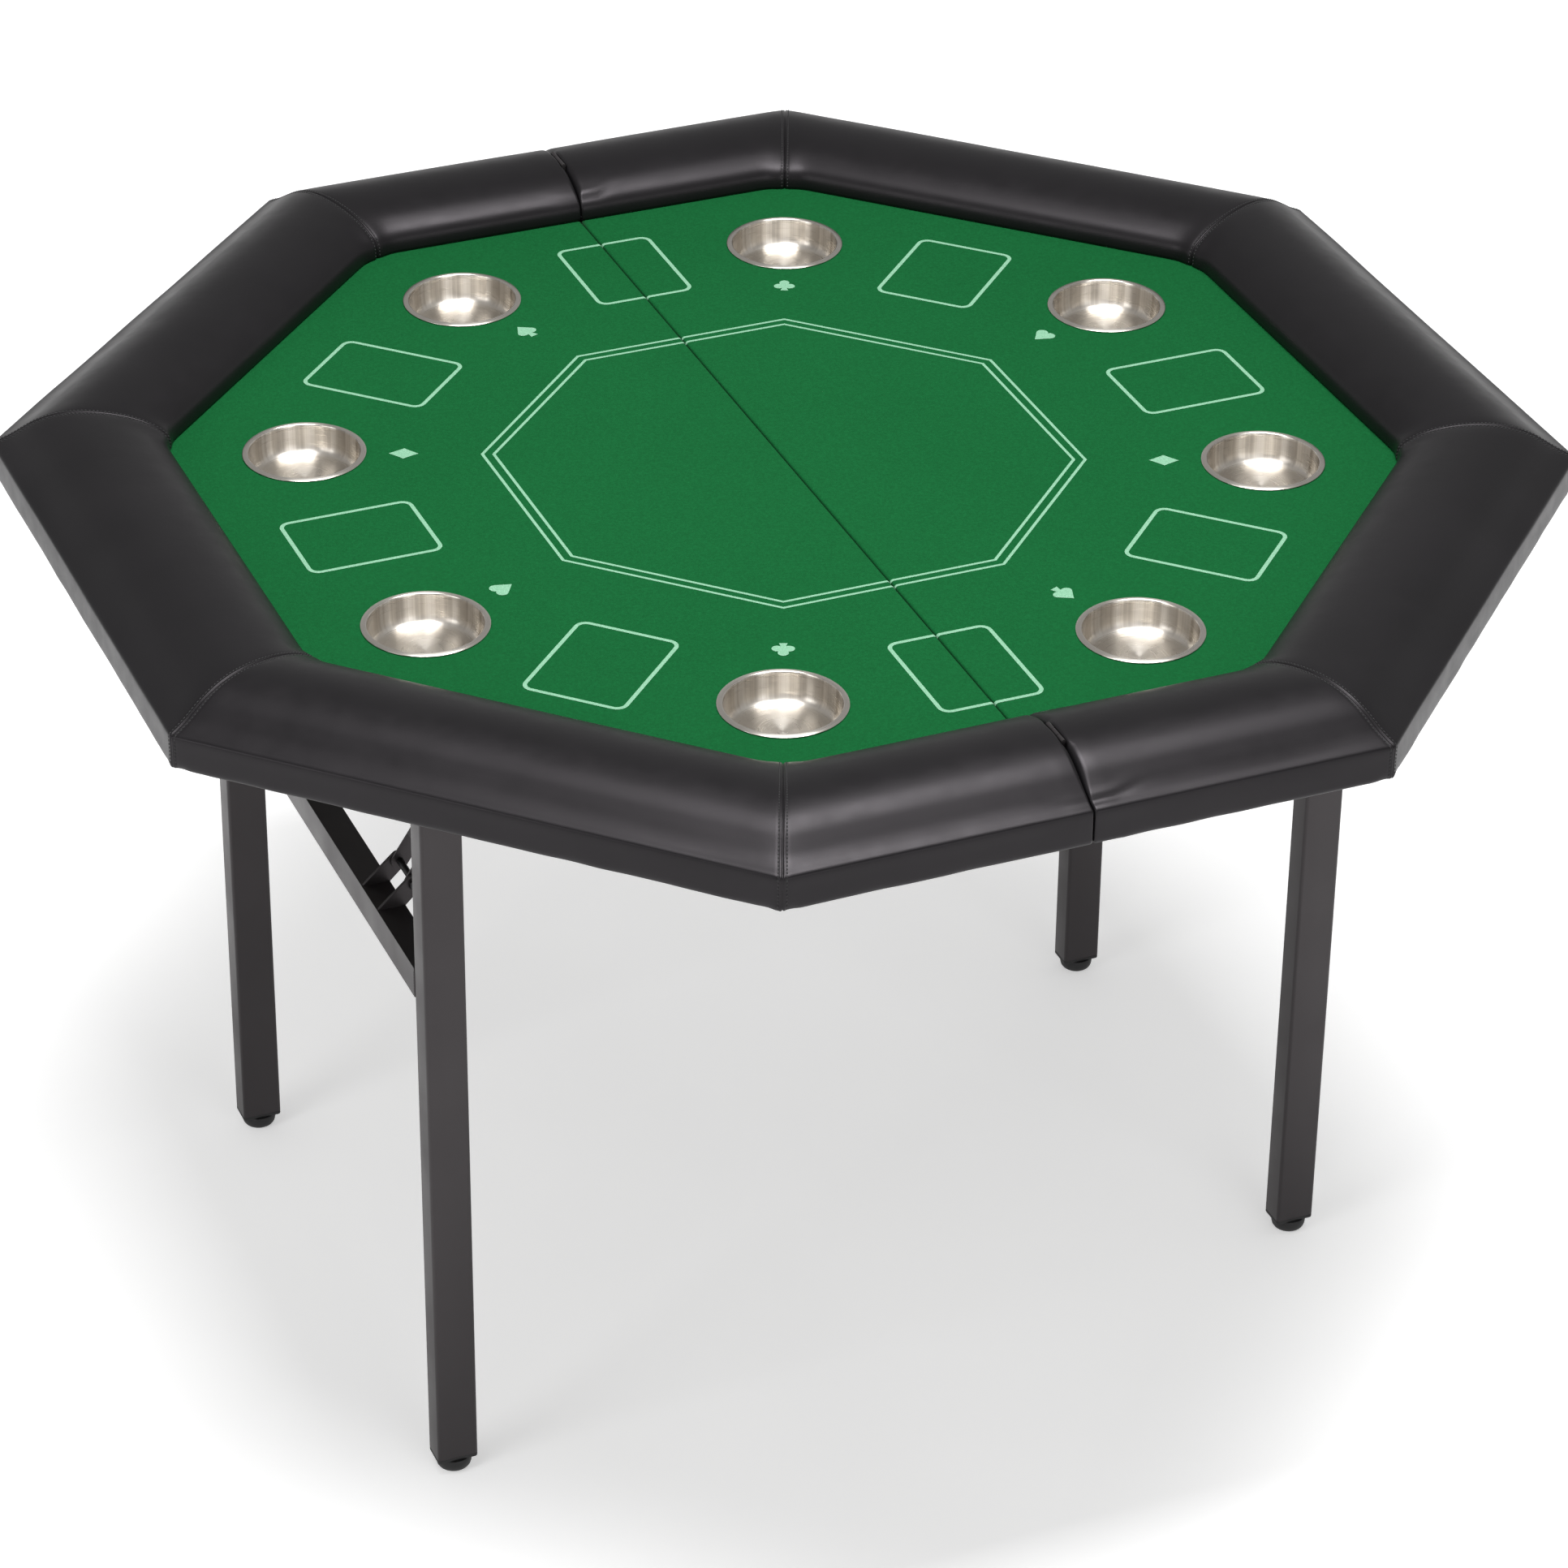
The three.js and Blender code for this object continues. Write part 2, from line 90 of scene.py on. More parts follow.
def catmull_rom(points, steps):
    """A smooth line through points, with steps[i] pieces between point i and the next."""
    points = np.asarray(points, float)
    padded = np.vstack([2 * points[0] - points[1], points, 2 * points[-1] - points[-2]])
    line = []
    for i, count in enumerate(steps):
        a, b, c, d = padded[i:i + 4]
        for t in np.arange(count) / count:
            line.append(
                0.5 * (2 * b + (c - a) * t + (2 * a - 5 * b + 4 * c - d) * t ** 2
                       + (3 * b - a - 3 * c + d) * t ** 3)
            )
    line.append(points[-1])
    return np.array(line)


def unit(vector):
    return vector / np.linalg.norm(vector)


def unit_rows(vectors):
    return vectors / np.linalg.norm(vectors, axis=1)[:, None]


def line_normals(line):
    """Unit normals of a line in a plane, to the left of its direction."""
    tangent = np.gradient(line, axis=0)
    return unit_rows(np.stack([-tangent[:, 1], tangent[:, 0]], axis=1))


def turn_angles(count):
    """The angles of count points that are evenly spaced round a circle."""
    return [2 * math.pi * k / count for k in range(count)]


def running_length(line):
    steps = np.linalg.norm(np.diff(line, axis=0), axis=1)
    return np.concatenate([[0], np.cumsum(steps)])


def rounded_rectangle(width, height, radius, steps=5):
    """Outline round the origin, with steps pieces to each corner's round."""
    points = []
    for quarter, (sx, sy) in enumerate(((1, 1), (-1, 1), (-1, -1), (1, -1))):
        for angle in np.radians(90 * quarter + np.linspace(0, 90, steps + 1)):
            points.append((
                sx * (width / 2 - radius) + radius * math.cos(angle),
                sy * (height / 2 - radius) + radius * math.sin(angle),
            ))
    return np.array(points)


# ---------- meshes ----------
def middle_of(node_name):
    low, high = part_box(node_name)
    return (low + high) / 2


def placed(name, data):
    """A new object in the scene that shows a mesh, a camera or a lamp."""
    made = bpy.data.objects.new(name, data)
    bpy.context.scene.collection.objects.link(made)
    return made


def mesh_piece(name, points, faces, material):
    mesh = bpy.data.meshes.new(name)
    mesh.from_pydata(np.asarray(points, float).tolist(), [], faces)
    mesh.validate()
    mesh.polygons.foreach_set("use_smooth", [True] * len(mesh.polygons))
    if material is not None:
        mesh.materials.append(material)
    return placed(name, mesh)


def grid_faces(columns, rows, wrap=False, flip=False):
    """Quads of a grid whose point (column, row) has the number column * rows + row."""
    faces = []
    for i in range(columns if wrap else columns - 1):
        after = (i + 1) % columns
        for j in range(rows - 1):
            quad = (i * rows + j, after * rows + j, after * rows + j + 1, i * rows + j + 1)
            faces.append(quad[::-1] if flip else quad)
    return faces


def tube_faces(rings, sides):
    """Faces of a closed tube, whose point k of ring i has the number i * sides + k."""
    faces = []
    for i in range(rings - 1):
        for k in range(sides):
            after = (k + 1) % sides
            faces.append((i * sides + k, i * sides + after, (i + 1) * sides + after, (i + 1) * sides + k))
    faces.append(tuple(range(sides))[::-1])
    faces.append(tuple((rings - 1) * sides + k for k in range(sides)))
    return faces


def join_parts(parts):
    """One list of points and one of faces from several (points, faces)."""
    points, faces = [], []
    for part_points, part_faces in parts:
        start = len(points)
        points.extend(np.asarray(part_points, float).tolist())
        faces.extend(tuple(start + i for i in face) for face in part_faces)
    return points, faces


def lathe(profile, segments, centre=(0, 0, 0)):
    """Turns a profile of (radius, height) about a vertical axis. Its ends lie on the axis."""
    profile = np.asarray(profile, float)
    rings = profile[1:-1]
    points = [
        (centre[0] + r * math.cos(a), centre[1] + r * math.sin(a), centre[2] + z)
        for a in turn_angles(segments) for r, z in rings
    ]
    faces = grid_faces(segments, len(rings), wrap=True)
    first, last = len(points), len(points) + 1
    points += [(centre[0], centre[1], centre[2] + profile[end][1]) for end in (0, -1)]
    for i in range(segments):
        after = (i + 1) % segments
        faces.append((first, after * len(rings), i * len(rings)))
        faces.append((last, (i + 1) * len(rings) - 1, (after + 1) * len(rings) - 1))
    return points, faces


def add_modifier(piece, kind, **settings):
    modifier = piece.modifiers.new(kind.title(), kind)
    for name, value in settings.items():
        setattr(modifier, name, value)
    return modifier


# ---------- materials ----------
class Finish:
    """A material with a Principled shader, and short ways to wire procedural detail into it."""

    def __init__(self, name, **constants):
        self.material = bpy.data.materials.new(name)
        self.material.use_nodes = True
        self.tree = self.material.node_tree
        self.shader = self.tree.nodes["Principled BSDF"]
        for socket, value in constants.items():
            self.shader.inputs[socket.replace("_", " ")].default_value = value
        self.place = self.tree.nodes.new("ShaderNodeTexCoord").outputs["Object"]

    def node(self, kind, inputs=(), **settings):
        made = self.tree.nodes.new("ShaderNode" + kind)
        for name, value in settings.items():
            setattr(made, name, value)
        for name, value in dict(inputs).items():
            if isinstance(value, bpy.types.NodeSocket):
                self.tree.links.new(value, made.inputs[name])
            else:
                made.inputs[name].default_value = value
        return made

    def stretched(self, scale, place=None):
        inputs = {"Vector": place or self.place, "Scale": scale}
        return self.node("Mapping", inputs).outputs["Vector"]

    def noise(self, scale, detail=2.0, roughness=0.5, place=None):
        inputs = {"Vector": place or self.place, "Scale": scale, "Detail": detail, "Roughness": roughness}
        return self.node("TexNoise", inputs).outputs["Fac"]

    def cells(self, scale):
        return self.node("TexVoronoi", {"Vector": self.place, "Scale": scale}).outputs["Distance"]

    def maths(self, operation, first, second):
        return self.node("Math", {0: first, 1: second}, operation=operation).outputs[0]

    def spread(self, value, low, high, floor=0.35, ceiling=0.65):
        """Maps floor..ceiling of a value to low..high."""
        inputs = {"Value": value, "From Min": floor, "From Max": ceiling, "To Min": low, "To Max": high}
        return self.node("MapRange", inputs).outputs["Result"]

    def colours(self, factor, stops):
        ramp = self.node("ValToRGB", {"Fac": factor})
        elements = ramp.color_ramp.elements
        while len(elements) < len(stops):
            elements.new(0.5)
        for element, (position, colour) in zip(elements, stops):
            element.position = position
            element.color = (*colour, 1)
        return ramp.outputs["Color"]

    def bumps(self, *layers):
        """Each layer is (height, strength, depth in metres)."""
        normal = None
        for height, strength, depth in layers:
            inputs = {"Height": height, "Strength": strength, "Distance": depth}
            if normal is not None:
                inputs["Normal"] = normal
            normal = self.node("Bump", inputs).outputs["Normal"]
        self.feed("Normal", normal)

    def tint(self, factor, stops):
        self.feed("Base Color", self.colours(factor, stops))

    def gloss(self, value, smoothest, roughest):
        self.feed("Roughness", self.spread(value, smoothest, roughest))

    def feed(self, socket, value):
        self.tree.links.new(value, self.shader.inputs[socket])


def vinyl_finish():
    finish = Finish(
        "black_vinyl", IOR=1.5, Specular_IOR_Level=0.22, Specular_Tint=(1, 0.93, 0.99, 1),
    )
    broad = finish.noise(9, detail=3)
    finish.tint(broad, [
        (0.3, (0.0042, 0.0040, 0.0044)),
        (0.7, (0.0060, 0.0056, 0.0062)),
    ])
    rub = finish.noise(45, detail=4, roughness=0.6)
    finish.gloss(rub, 0.36, 0.41)
    grain = finish.cells(950)
    pores = finish.noise(2600, detail=2)
    finish.bumps((grain, 0.22, 0.06 * MM), (pores, 0.15, 0.05 * MM))
    return finish.material


def thread_finish():
    finish = Finish("black_thread", IOR=1.48)
    twist = finish.noise(2200, detail=2)
    finish.tint(twist, [
        (0.35, (0.0035, 0.0035, 0.0038)),
        (0.65, (0.010, 0.010, 0.011)),
    ])
    finish.gloss(twist, 0.55, 0.75)
    finish.bumps((twist, 0.5, 0.08 * MM))
    return finish.material


def felt_finish():
    finish = Finish(
        "green_felt", Sheen_Weight=0.03, Sheen_Roughness=0.45, Sheen_Tint=(0.35, 0.8, 0.45, 1),
        Specular_IOR_Level=0.05,
    )
    fibre = finish.noise(1500, detail=4, roughness=0.7)
    tuft = finish.noise(420, detail=3, roughness=0.6)
    cloud = finish.noise(6, detail=3)
    mixed = finish.maths("ADD", finish.maths("MULTIPLY", fibre, 0.6), finish.maths("MULTIPLY", tuft, 0.34))
    mixed = finish.maths("ADD", mixed, finish.maths("MULTIPLY", cloud, 0.06))
    finish.tint(mixed, [
        (0.36, (0.0022, 0.054, 0.0135)),
        (0.50, (0.0038, 0.072, 0.019)),
        (0.64, (0.0062, 0.096, 0.027)),
    ])
    finish.gloss(tuft, 0.88, 0.98)
    thread = finish.node("TexWave", {
        "Vector": finish.place, "Scale": 420, "Distortion": 3.0, "Detail": 2.0, "Detail Scale": 6.0,
    }, bands_direction="X").outputs["Fac"]
    finish.bumps((thread, 0.12, 0.15 * MM), (fibre, 0.55, 0.35 * MM), (tuft, 0.3, 0.4 * MM))
    return finish.material


def print_finish():
    finish = Finish("pale_print", Specular_IOR_Level=0.2)
    fibre = finish.noise(1500, detail=4, roughness=0.7)
    finish.tint(fibre, [
        (0.36, (0.11, 0.27, 0.16)),
        (0.52, (0.18, 0.36, 0.24)),
        (0.68, (0.25, 0.45, 0.32)),
    ])
    finish.gloss(fibre, 0.75, 0.92)
    finish.bumps((fibre, 0.5, 0.3 * MM))
    return finish.material


def stainless_finish():
    """Brushed round the cup's axis, with painted reflection: lighter and darker bands in its colour that
    run up its wall and fade on its level faces.
    """
    finish = Finish("brushed_stainless", Metallic=1.0, Anisotropic=0.8, Anisotropic_Rotation=0.25)
    spin = finish.node("Attribute", attribute_name="spin").outputs["Vector"]
    # Painted reflection: vertical light and dark bands in the metal's colour stand in for the room
    # reflected in the wall.
    painted_reflection_bands = finish.noise(3.2, detail=5, roughness=0.62, place=finish.stretched((1, 1, 0.02), spin))
    rings = finish.noise(1100, detail=2, roughness=0.6, place=finish.stretched((0.0006, 0.0006, 1), spin))
    facing = finish.node("TexCoord").outputs["Normal"]
    level = finish.maths("ABSOLUTE", finish.node("SeparateXYZ", {"Vector": facing}).outputs["Z"], 0.0)
    # The painted reflection bands are strongest on the wall and fade out on the floor and the flange.
    reflection_band_strength = finish.spread(level, 1.5, 0.12, floor=0.4, ceiling=0.9)
    away = finish.maths("SUBTRACT", painted_reflection_bands, 0.5)
    painted_reflection_bands = finish.maths("ADD", finish.maths("MULTIPLY", away, reflection_band_strength), 0.5)
    finish.tint(painted_reflection_bands, [
        (0.36, (0.47, 0.435, 0.39)),
        (0.50, (0.67, 0.63, 0.575)),
        (0.64, (0.82, 0.79, 0.745)),
    ])
    finish.gloss(rings, 0.27, 0.34)
    tangent = finish.node("Tangent", direction_type="RADIAL", axis="Z").outputs["Tangent"]
    finish.feed("Tangent", tangent)
    finish.bumps((rings, 0.03, 0.01 * MM))
    return finish.material


def powder_coat_finish():
    finish = Finish(
        "leg_powder_coat", IOR=1.5, Specular_IOR_Level=0.42, Specular_Tint=(1, 0.92, 0.95, 1),
    )
    cloud = finish.noise(14, detail=3)
    finish.tint(cloud, [
        (0.3, (0.0105, 0.0095, 0.0098)),
        (0.7, (0.0140, 0.0125, 0.0130)),
    ])
    peel = finish.noise(620, detail=2, roughness=0.4)
    grit = finish.noise(2400, detail=2)
    finish.gloss(cloud, 0.38, 0.50)
    finish.bumps((peel, 0.25, 0.10 * MM), (grit, 0.2, 0.04 * MM))
    return finish.material


def black_oxide_finish():
    finish = Finish("black_oxide", Metallic=0.85)
    wear = finish.noise(180, detail=5, roughness=0.65)
    finish.tint(wear, [
        (0.35, (0.020, 0.020, 0.022)),
        (0.62, (0.050, 0.049, 0.050)),
        (0.80, (0.110, 0.108, 0.105)),
    ])
    finish.gloss(wear, 0.34, 0.55)
    finish.bumps((finish.noise(1300, detail=3), 0.2, 0.04 * MM))
    return finish.material


def staple_finish():
    finish = Finish("zinc_wire", Metallic=1.0)
    wear = finish.noise(300, detail=3)
    finish.tint(wear, [
        (0.3, (0.36, 0.37, 0.38)),
        (0.7, (0.55, 0.56, 0.58)),
    ])
    finish.gloss(wear, 0.28, 0.45)
    return finish.material


def plastic_finish():
    finish = Finish("moulded_black_plastic", IOR=1.46, Specular_IOR_Level=0.4)
    cloud = finish.noise(60, detail=3)
    finish.tint(cloud, [
        (0.3, (0.0075, 0.0075, 0.008)),
        (0.7, (0.014, 0.014, 0.0145)),
    ])
    spark = finish.cells(1500)
    finish.gloss(cloud, 0.48, 0.62)
    finish.bumps((spark, 0.25, 0.05 * MM))
    return finish.material


def board_finish():
    finish = Finish("black_laminate_board", Specular_IOR_Level=0.35)
    fibres = finish.noise(70, detail=5, roughness=0.65, place=finish.stretched((1, 0.12, 1)))
    finish.tint(fibres, [
        (0.30, (0.012, 0.011, 0.010)),
        (0.55, (0.021, 0.019, 0.018)),
        (0.75, (0.032, 0.029, 0.026)),
    ])
    finish.gloss(fibres, 0.55, 0.75)
    finish.bumps((fibres, 0.3, 0.12 * MM), (finish.noise(900, detail=3), 0.25, 0.06 * MM))
    return finish.material


VINYL = vinyl_finish()
THREAD = thread_finish()
FELT = felt_finish()
PRINT = print_finish()
STAINLESS = stainless_finish()
LEG_PAINT = powder_coat_finish()
OXIDE = black_oxide_finish()
WIRE = staple_finish()
PLASTIC = plastic_finish()
LAMINATE = board_finish()


# ---------- camera, light and floor ----------
# The camera looks at the felt's front corner, from where its rings and octagons look as in the photo.
CAMERA_AZIMUTH = math.radians(-22.753)
CAMERA_ELEVATION = math.radians(31.865)
CAMERA_ROLL = math.radians(0.632)
CAMERA_DISTANCE = 4.1285
CAMERA_TARGET = Vector((-0.195, -FELT_APOTHEM, FELT_TOP))
CAMERA_LENS = 126.82
FLOOR_REACH = 12
FLOOR_GLOW = 0.42


def place_camera():
    azimuth, elevation, roll = CAMERA_AZIMUTH, CAMERA_ELEVATION, CAMERA_ROLL
    back = Vector((
        math.sin(azimuth) * math.cos(elevation),
        -math.cos(azimuth) * math.cos(elevation),
        math.sin(elevation),
    ))
    level_right = Vector((math.cos(azimuth), math.sin(azimuth), 0))
    level_up = back.cross(level_right)
    right = level_right * math.cos(roll) + level_up * math.sin(roll)
    up = level_up * math.cos(roll) - level_right * math.sin(roll)
    camera = placed("camera", bpy.data.cameras.new("camera"))
    camera.data.lens = CAMERA_LENS
    camera.data.sensor_width = 36
    camera.data.clip_end = 60
    axes = Matrix((right, up, back)).transposed().to_4x4()
    camera.matrix_world = Matrix.Translation(CAMERA_TARGET + back * CAMERA_DISTANCE) @ axes
    bpy.context.scene.camera = camera


def soft_box(name, place, aim, size, watts):
    lamp = bpy.data.lights.new(name, "AREA")
    lamp.shape = "RECTANGLE"
    lamp.size, lamp.size_y = size
    lamp.energy = watts
    piece = placed(name, lamp)
    piece.location = place
    piece.rotation_euler = (Vector(aim) - Vector(place)).to_track_quat("-Z", "Y").to_euler()


def light_room():
    """A pale room that is brightest near the horizon, with three soft boxes."""
    world = bpy.data.worlds.new("studio")
    world.use_nodes = True
    tree = world.node_tree
    sky = tree.nodes["Background"]
    sky.inputs["Color"].default_value = (1.0, 0.995, 0.99, 1)
    direction = tree.nodes.new("ShaderNodeTexCoord").outputs["Generated"]
    split = tree.nodes.new("ShaderNodeSeparateXYZ")
    tree.links.new(direction, split.inputs["Vector"])
    fade = tree.nodes.new("ShaderNodeMapRange")
    tree.links.new(split.outputs["Z"], fade.inputs["Value"])
    for name, value in (("From Min", 0.02), ("From Max", 0.30), ("To Min", 0.88), ("To Max", 0.36)):
        fade.inputs[name].default_value = value
    tree.links.new(fade.outputs["Result"], sky.inputs["Strength"])
    bpy.context.scene.world = world
    middle = (0, 0, FELT_TOP)
    soft_box("overhead_box", (0, -0.45, 3.9), middle, (2.4, 1.0), 185)
    soft_box("left_box", (-3.6, -1.2, 1.8), (0, 0, 0.45), (1.6, 1.8), 30)
    soft_box("front_box", (0.6, -4.2, 1.6), (0, 0, 0.4), (2.4, 1.6), 30)


def floor_finish():
    """Pale paint on top. From below it lets the view through, so that the underside can be looked at."""
    finish = Finish("pale_floor", Specular_IOR_Level=0.2)
    cloud = finish.noise(2, detail=3)
    finish.tint(cloud, [
        (0.3, (0.84, 0.84, 0.84)),
        (0.7, (0.87, 0.87, 0.87)),
    ])
    finish.gloss(cloud, 0.7, 0.8)
    finish.feed("Emission Color", finish.colours(cloud, [
        (0.3, (0.97, 0.97, 0.97)),
        (0.7, (1.0, 1.0, 1.0)),
    ]))
    finish.shader.inputs["Emission Strength"].default_value = FLOOR_GLOW
    from_below = finish.node("NewGeometry").outputs["Backfacing"]
    clear = finish.node("BsdfTransparent").outputs["BSDF"]
    painted = finish.shader.outputs["BSDF"]
    shown = finish.node("MixShader", {0: from_below, 1: painted, 2: clear}).outputs["Shader"]
    finish.tree.links.new(shown, finish.tree.nodes["Material Output"].inputs["Surface"])
    return finish.material


def lay_floor():
    steps = 12
    line = np.linspace(-FLOOR_REACH, FLOOR_REACH, steps)
    points = [(x, y, 0) for x in line for y in line]
    floor = mesh_piece("floor", points, grid_faces(steps, steps), floor_finish())


# ---------- padded rail ----------
# Section of the vinyl cover: distance out from the felt edge, height above the felt, and the number
# of pieces to the next point. It runs from its tucked inner edge over the crown to the lip, down the
# outer face and under the board.
RAIL_SECTION = (
    (8, 0.5, 2), (2, 0.4, 1), (0.5, 0.9, 2), (0.2, 6, 2), (0.9, 12, 2), (4, 17.5, 3),
    (11, 23.5, 4), (22, 29.8, 4), (37, 34.4, 5), (55, 36.6, 5), (72, 36, 5), (87, 32.3, 4),
    (99, 26.6, 4), (108.5, 20.2, 3), (116.5, 14.6, 3), (123.5, 10.4, 3), (128.4, 8.2, 2), (130.4, 6.8, 2),
    (131, 4.8, 2), (131.1, -2, 3), (131.1, -12, 3), (130.9, -19, 2), (129.6, -21.7, 2),
    (126, -22.4, 2), (118, -22.6, 2), (106, -22.8, 0),
)
REFERENCE_APOTHEM = (FELT_APOTHEM + OUTER_APOTHEM) / 2
HALF_LENGTH = REFERENCE_APOTHEM * MITRE
RAIL_LENGTH = 8 * HALF_LENGTH
RAIL_TURNS = (-90, -45, 0, 45, 90)
RAIL_PARTS = ("front_end", "front_corner", "side", "back_corner", "back_end")
VINYL_THICK = 1.0 * MM
STITCH_OFFSET = 3.1 * MM
SEAM_ROUNDING_STEPS = 7
SETTLE_FRAMES = 20
SETTLE_SMOOTHING = 12
SETTLE_CAP = 1.0 * MM
# How the vinyl was pulled over the ends of each half: the random seed, the strength of the pull folds
# at the front and at the back, and how much further the crown is rounded off than the rest.
RAIL_ENDS = {
    "left": {"seed": 47, "folds": (0.15, 0.2), "crown_rounding": 2.0 * MM},
    "right": {"seed": 11, "folds": (0.55, 0.7), "crown_rounding": 5.0 * MM},
}


class Section:
    """The rail's section with what is needed to shape it: normals and named zones."""

    def __init__(self, pieces_scale=1.0):
        points = [(out, up) for out, up, count in RAIL_SECTION]
        counts = [max(1, round(count * pieces_scale)) for out, up, count in RAIL_SECTION[:-1]]
        self.line = catmull_rom(np.array(points) * MM, counts)
        self.normal = line_normals(self.line)
        self.length = running_length(self.line)
        self.out, self.up = self.line.T
        on_top = smooth_step(10 * MM, 16 * MM, self.up)
        self.crown = on_top * smooth_step(2 * MM, 20 * MM, self.out)
        self.lip = smooth_step(112 * MM, 127 * MM, self.out) * smooth_step(-6 * MM, 6 * MM, self.up)
        self.face = smooth_step(128 * MM, 130.5 * MM, self.out) * smooth_step(9 * MM, 1 * MM, self.up)
        self.hem = smooth_step(-15 * MM, -21 * MM, self.up)
        past_start = smooth_step(HINGE_START - 6 * MM, HINGE_START - 1 * MM, self.out)
        beside_hinge = past_start * smooth_step(HINGE_END + 6 * MM, HINGE_END + 1 * MM, self.out)
        self.end_gap = 0.4 * MM + 1.7 * MM * beside_hinge * smooth_step(0, 5 * MM, self.up)
        rounded = self.crown * smooth_step(126 * MM, 96 * MM, self.out)
        self.end_crown = rounded * (1 - 0.85 * beside_hinge)


def from_mitre(fine):
    """Distances of a length's columns from its mitre line, out to its middle."""
    close = np.array([0, 0.5, 1.1, 1.9, 3.1, 4.4, 6, 8, 10, 13, 17, 22, 28, 35, 42]) * MM
    if not fine:
        close = np.array([0, 8, 16, 25, 34, 42]) * MM
    spacing = 6 * MM if fine else 9 * MM
    rest = np.linspace(close[-1], HALF_LENGTH, round((HALF_LENGTH - close[-1]) / spacing) + 1)
    return np.concatenate([close, rest[1:]])


def rail_columns(fine):
    """Places along the half rail, measured from the front seam at the reference line."""
    places = []
    distances = from_mitre(fine)
    for mitre in range(4):
        middle = (2 * mitre + 1) * HALF_LENGTH
        before = middle - distances[::-1]
        after = middle + distances[1:]
        places += [*before, *after[:-1]]
    places.append(RAIL_LENGTH)
    places = np.array(places)
    clear_of_rounding = 14 * MM
    inside = (places > clear_of_rounding) & (places < RAIL_LENGTH - clear_of_rounding)
    return places[inside]


def rail_points(section, places, rounding=0.0, sink=0.0):
    """Grid of points (place, row, xyz) on the right half. rounding and sink may differ by row.

    rounding is the row's distance from the seam plane where it isn't given by places,
    and sink moves the surface in along its normals."""
    places = np.asarray(places, float)
    turn_index = np.clip(np.round(places / (2 * HALF_LENGTH)), 0, 4).astype(int)
    angle = np.radians(np.array(RAIL_TURNS)[turn_index])[:, None]
    along = (places - turn_index * 2 * HALF_LENGTH)[:, None]
    share = along / HALF_LENGTH
    sink = np.broadcast_to(sink, (len(places), len(section.out)))
    out = section.out - section.normal[:, 0] * sink
    up = section.up - section.normal[:, 1] * sink
    corner = bump_at(np.abs(share), 1, 0.06) * smooth_step(55 * MM, 0, section.out)[None, :]
    apothem = FELT_APOTHEM + out - 5.0 * MM * corner
    at_end = (turn_index == 0) | (turn_index == 4)
    fan = np.where(at_end[:, None], smooth_step(0, 0.25, np.abs(share)), 1.0) * share
    reach = along + fan * (apothem - REFERENCE_APOTHEM) * MITRE
    reach = reach + rounding
    x = np.cos(angle) * apothem - np.sin(angle) * reach
    y = np.sin(angle) * apothem + np.cos(angle) * reach
    z = FELT_TOP + up + np.zeros_like(apothem)
    return np.stack([x, y, z], axis=2)


def mitre_distance(places):
    """Signed distance of each place from its nearest mitre line."""
    nearest = (2 * np.round((places / HALF_LENGTH - 1) / 2) + 1) * HALF_LENGTH
    nearest = np.clip(nearest, HALF_LENGTH, 7 * HALF_LENGTH)
    return places - nearest


def dents(section, places, seed):
    """How far the tensioned vinyl stands in at each point: mitre pulls, folds, dimples."""
    aside = mitre_distance(places)[:, None]
    along = places[:, None]
    down = section.length[None, :]
    groove = 1.2 * MM * bump_at(aside, 0, 0.6 * MM)
    stitch_line = 0.25 * MM * bump_at(np.abs(aside), STITCH_OFFSET, 0.9 * MM)
    pull = 0.4 * MM * bump_at(aside, 0, 9 * MM) * (0.35 + 0.65 * section.crown)
    sink = groove + stitch_line + pull
    swell = ripple(along, 130 * MM, seed) * ripple(down + along * 0.2, 60 * MM, seed + 1)
    sink = sink - 0.08 * MM * swell * section.crown
    sink = sink - 0.45 * MM * ripple(along, 70 * MM, seed + 2) * section.lip
    folds = ripple(along + 0.15 * down, 24 * MM, seed + 3)
    folds = folds * smooth_step(-0.1, 0.9, ripple(along, 160 * MM, seed + 4))
    sink = sink - 0.35 * MM * folds * section.face
    sink = sink - 0.3 * MM * ripple(along, 22 * MM, seed + 5) * section.hem
    gathers = np.sin(aside / (3.1 * MM) + 0.6) * bump_at(aside, 0, 14 * MM) * section.hem
    return sink - 0.6 * MM * gathers


def end_folds(section, places, seed, strength):
    """Pull folds that fan out from the seam end of the rail, by the lip and by the inner edge."""
    sink = np.zeros((len(places), len(section.out)))
    lip_row = section.length[np.argmax(section.out > 127 * MM)]
    inner_row = section.length[np.argmax(section.up > 15 * MM)]
    down = section.length[None, :]
    for end, weight in ((0.0, strength[0]), (RAIL_LENGTH, strength[1])):
        away = np.abs(places - end)[:, None]
        fade = smooth_step(48 * MM, 10 * MM, away)
        diagonal = lip_row - 2 * MM - (away - 8 * MM) * 0.3 - down
        sink = sink + weight * 1.5 * MM * bump_at(diagonal, 0, 2.4 * MM) * fade
        sink = sink - weight * 0.8 * MM * bump_at(diagonal, 5.5 * MM, 3.5 * MM) * fade
        inner = down - inner_row - (away - 6 * MM) * 0.42
        sink = sink + weight * 1.3 * MM * bump_at(inner, -3 * MM, 3 * MM) * fade
        sink = sink - weight * 0.9 * MM * bump_at(inner, 4 * MM, 4 * MM) * fade
        pleats = np.sin(away / (1.9 * MM) + seed) * smooth_step(30 * MM, 6 * MM, away)
        rows = section.face * smooth_step(0, -18 * MM, section.up) + section.hem
        sink = sink + weight * 0.7 * MM * pleats * np.minimum(rows, 1)
    return sink


